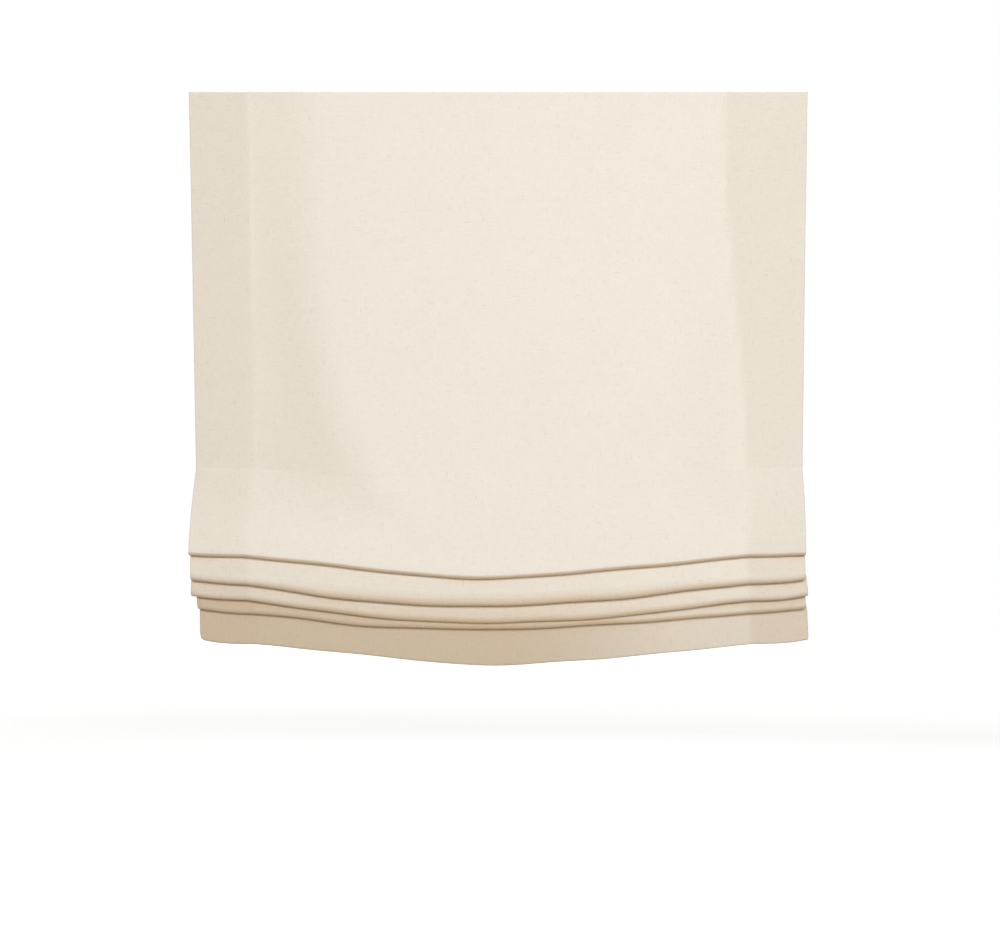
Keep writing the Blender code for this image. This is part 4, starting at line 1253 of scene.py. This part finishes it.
makeStitches()
print("stitches ready")


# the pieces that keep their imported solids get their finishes

finishes = {
    boardPaint: ("mounting_board",),
    hookTape: ("hook_tape", "loop_tape"),
    zincSteel: ("bracket_", "lift_shaft"),
    greyPlastic: ("motor_", "shaft_collar_"),
    whitePlastic: ("output_drum", "storage_drum", "spool_cradle_"),
    springSteel: ("spring_band",),
}
for nodeName, node in nodes.items():
    for finish, starts in finishes.items():
        if nodeName.startswith(starts):
            node.data.materials.clear()
            node.data.materials.append(finish)
print("finishes set")


# floor, light and camera

studio = {
    "floorZ": -1.35,
    "floorSize": 16,
    "floorGrey": (0.62, 0.62, 0.62, 1),
    # the floor's own white to the eye: from and to how far away, and its share at each
    "floorWhite": (1.2, 7.5, 0.50, 1.0),
    "skyColor": (1.0, 0.985, 0.955, 1),
    "skyStrength": 0.275,
    "cameraX": 0.0026,
    "cameraZ": -0.557,
    "distance": 3.5,
    "clothY": -0.0716,
    "frameWidth": 1.478,
    "sensor": 36.0,
}


def seenRays(tree):
    # 1 for what the eye sees, straight or mirrored or through glass, and 0 for light
    rays = tree.nodes.new("ShaderNodeLightPath")
    seen = mathNode(tree, "MAXIMUM", rays.outputs["Is Camera Ray"], rays.outputs["Is Glossy Ray"])
    return mathNode(tree, "MAXIMUM", seen, rays.outputs["Is Transmission Ray"])


def makeFloor():
    # white to the eye, more so far away, and the shadow near by stays
    deselectAll()
    bpy.ops.mesh.primitive_plane_add(size=studio["floorSize"], location=(0, 0, studio["floorZ"]))
    floor = bpy.context.object
    floor.name = "studioFloor"
    surface = {"Roughness": 0.9, "Base Color": studio["floorGrey"], "Emission Strength": 1.0}
    material, tree, shader = newMaterial("studioFloor", surface)
    away = addNode(tree, "VectorMath", {0: objectPlace(tree)}, operation="LENGTH").outputs["Value"]
    far = rangeNode(tree, away, *studio["floorWhite"])
    glow = mathNode(tree, "MULTIPLY", seenRays(tree), far)
    feed(tree, shader["Emission Color"], mixColor(tree, glow, (0.0, 0.0, 0.0), (1.0, 1.0, 1.0)))
    floor.data.materials.append(material)


def makeWorld():
    # a plain white background to the eye, and a softer, warmer sky that gives the light
    world = bpy.data.worlds.new("studio")
    bpy.context.scene.world = world
    world.use_nodes = True
    tree = world.node_tree
    tree.nodes.clear()
    skies = [
        addNode(tree, "Background", {"Color": color, "Strength": strength}).outputs[0]
        for color, strength in ((studio["skyColor"], studio["skyStrength"]), ((1, 1, 1, 1), 1.0))
    ]
    chosen = addNode(tree, "MixShader", {0: seenRays(tree), 1: skies[0], 2: skies[1]})
    addNode(tree, "OutputWorld", {"Surface": chosen.outputs[0]})


lamps = {
    # place, what it points at, size, power, colour
    "keyLight": ((0.70, -3.4, 0.45), (0, -0.07, -0.50), (1.2, 1.0), 72, (1, 1, 1)),
    "fillLight": ((-1.9, -2.9, 0.5), (0, -0.07, -0.45), (1.6, 1.2), 15.5, (1.0, 0.97, 0.92)),
    "backLight": ((0.5, 2.6, 0.9), (0, 0, -0.4), (1.8, 1.4), 62, (1, 1, 1)),
}


def areaLight(name, place, target, size, power, color):
    data = bpy.data.lights.new(name, "AREA")
    data.shape = "RECTANGLE"
    data.size, data.size_y = size
    data.energy = power
    data.color = color
    light = newObject(name, data)
    light.location = place
    light.rotation_mode = "QUATERNION"
    light.rotation_quaternion = (Vector(target) - Vector(place)).to_track_quat("-Z", "Y")


def makeCamera():
    data = bpy.data.cameras.new("camera")
    data.sensor_width = studio["sensor"]
    reach = studio["distance"] + studio["clothY"]
    data.lens = studio["sensor"] * reach / studio["frameWidth"]
    camera = newObject("camera", data)
    camera.location = (studio["cameraX"], -studio["distance"], studio["cameraZ"])
    camera.rotation_euler = (math.pi / 2, 0, 0)
    bpy.context.scene.camera = camera


makeFloor()
makeWorld()
for name, lamp in lamps.items():
    areaLight(name, *lamp)
makeCamera()
bpy.context.scene.view_settings.view_transform = "Standard"
print("studio ready")
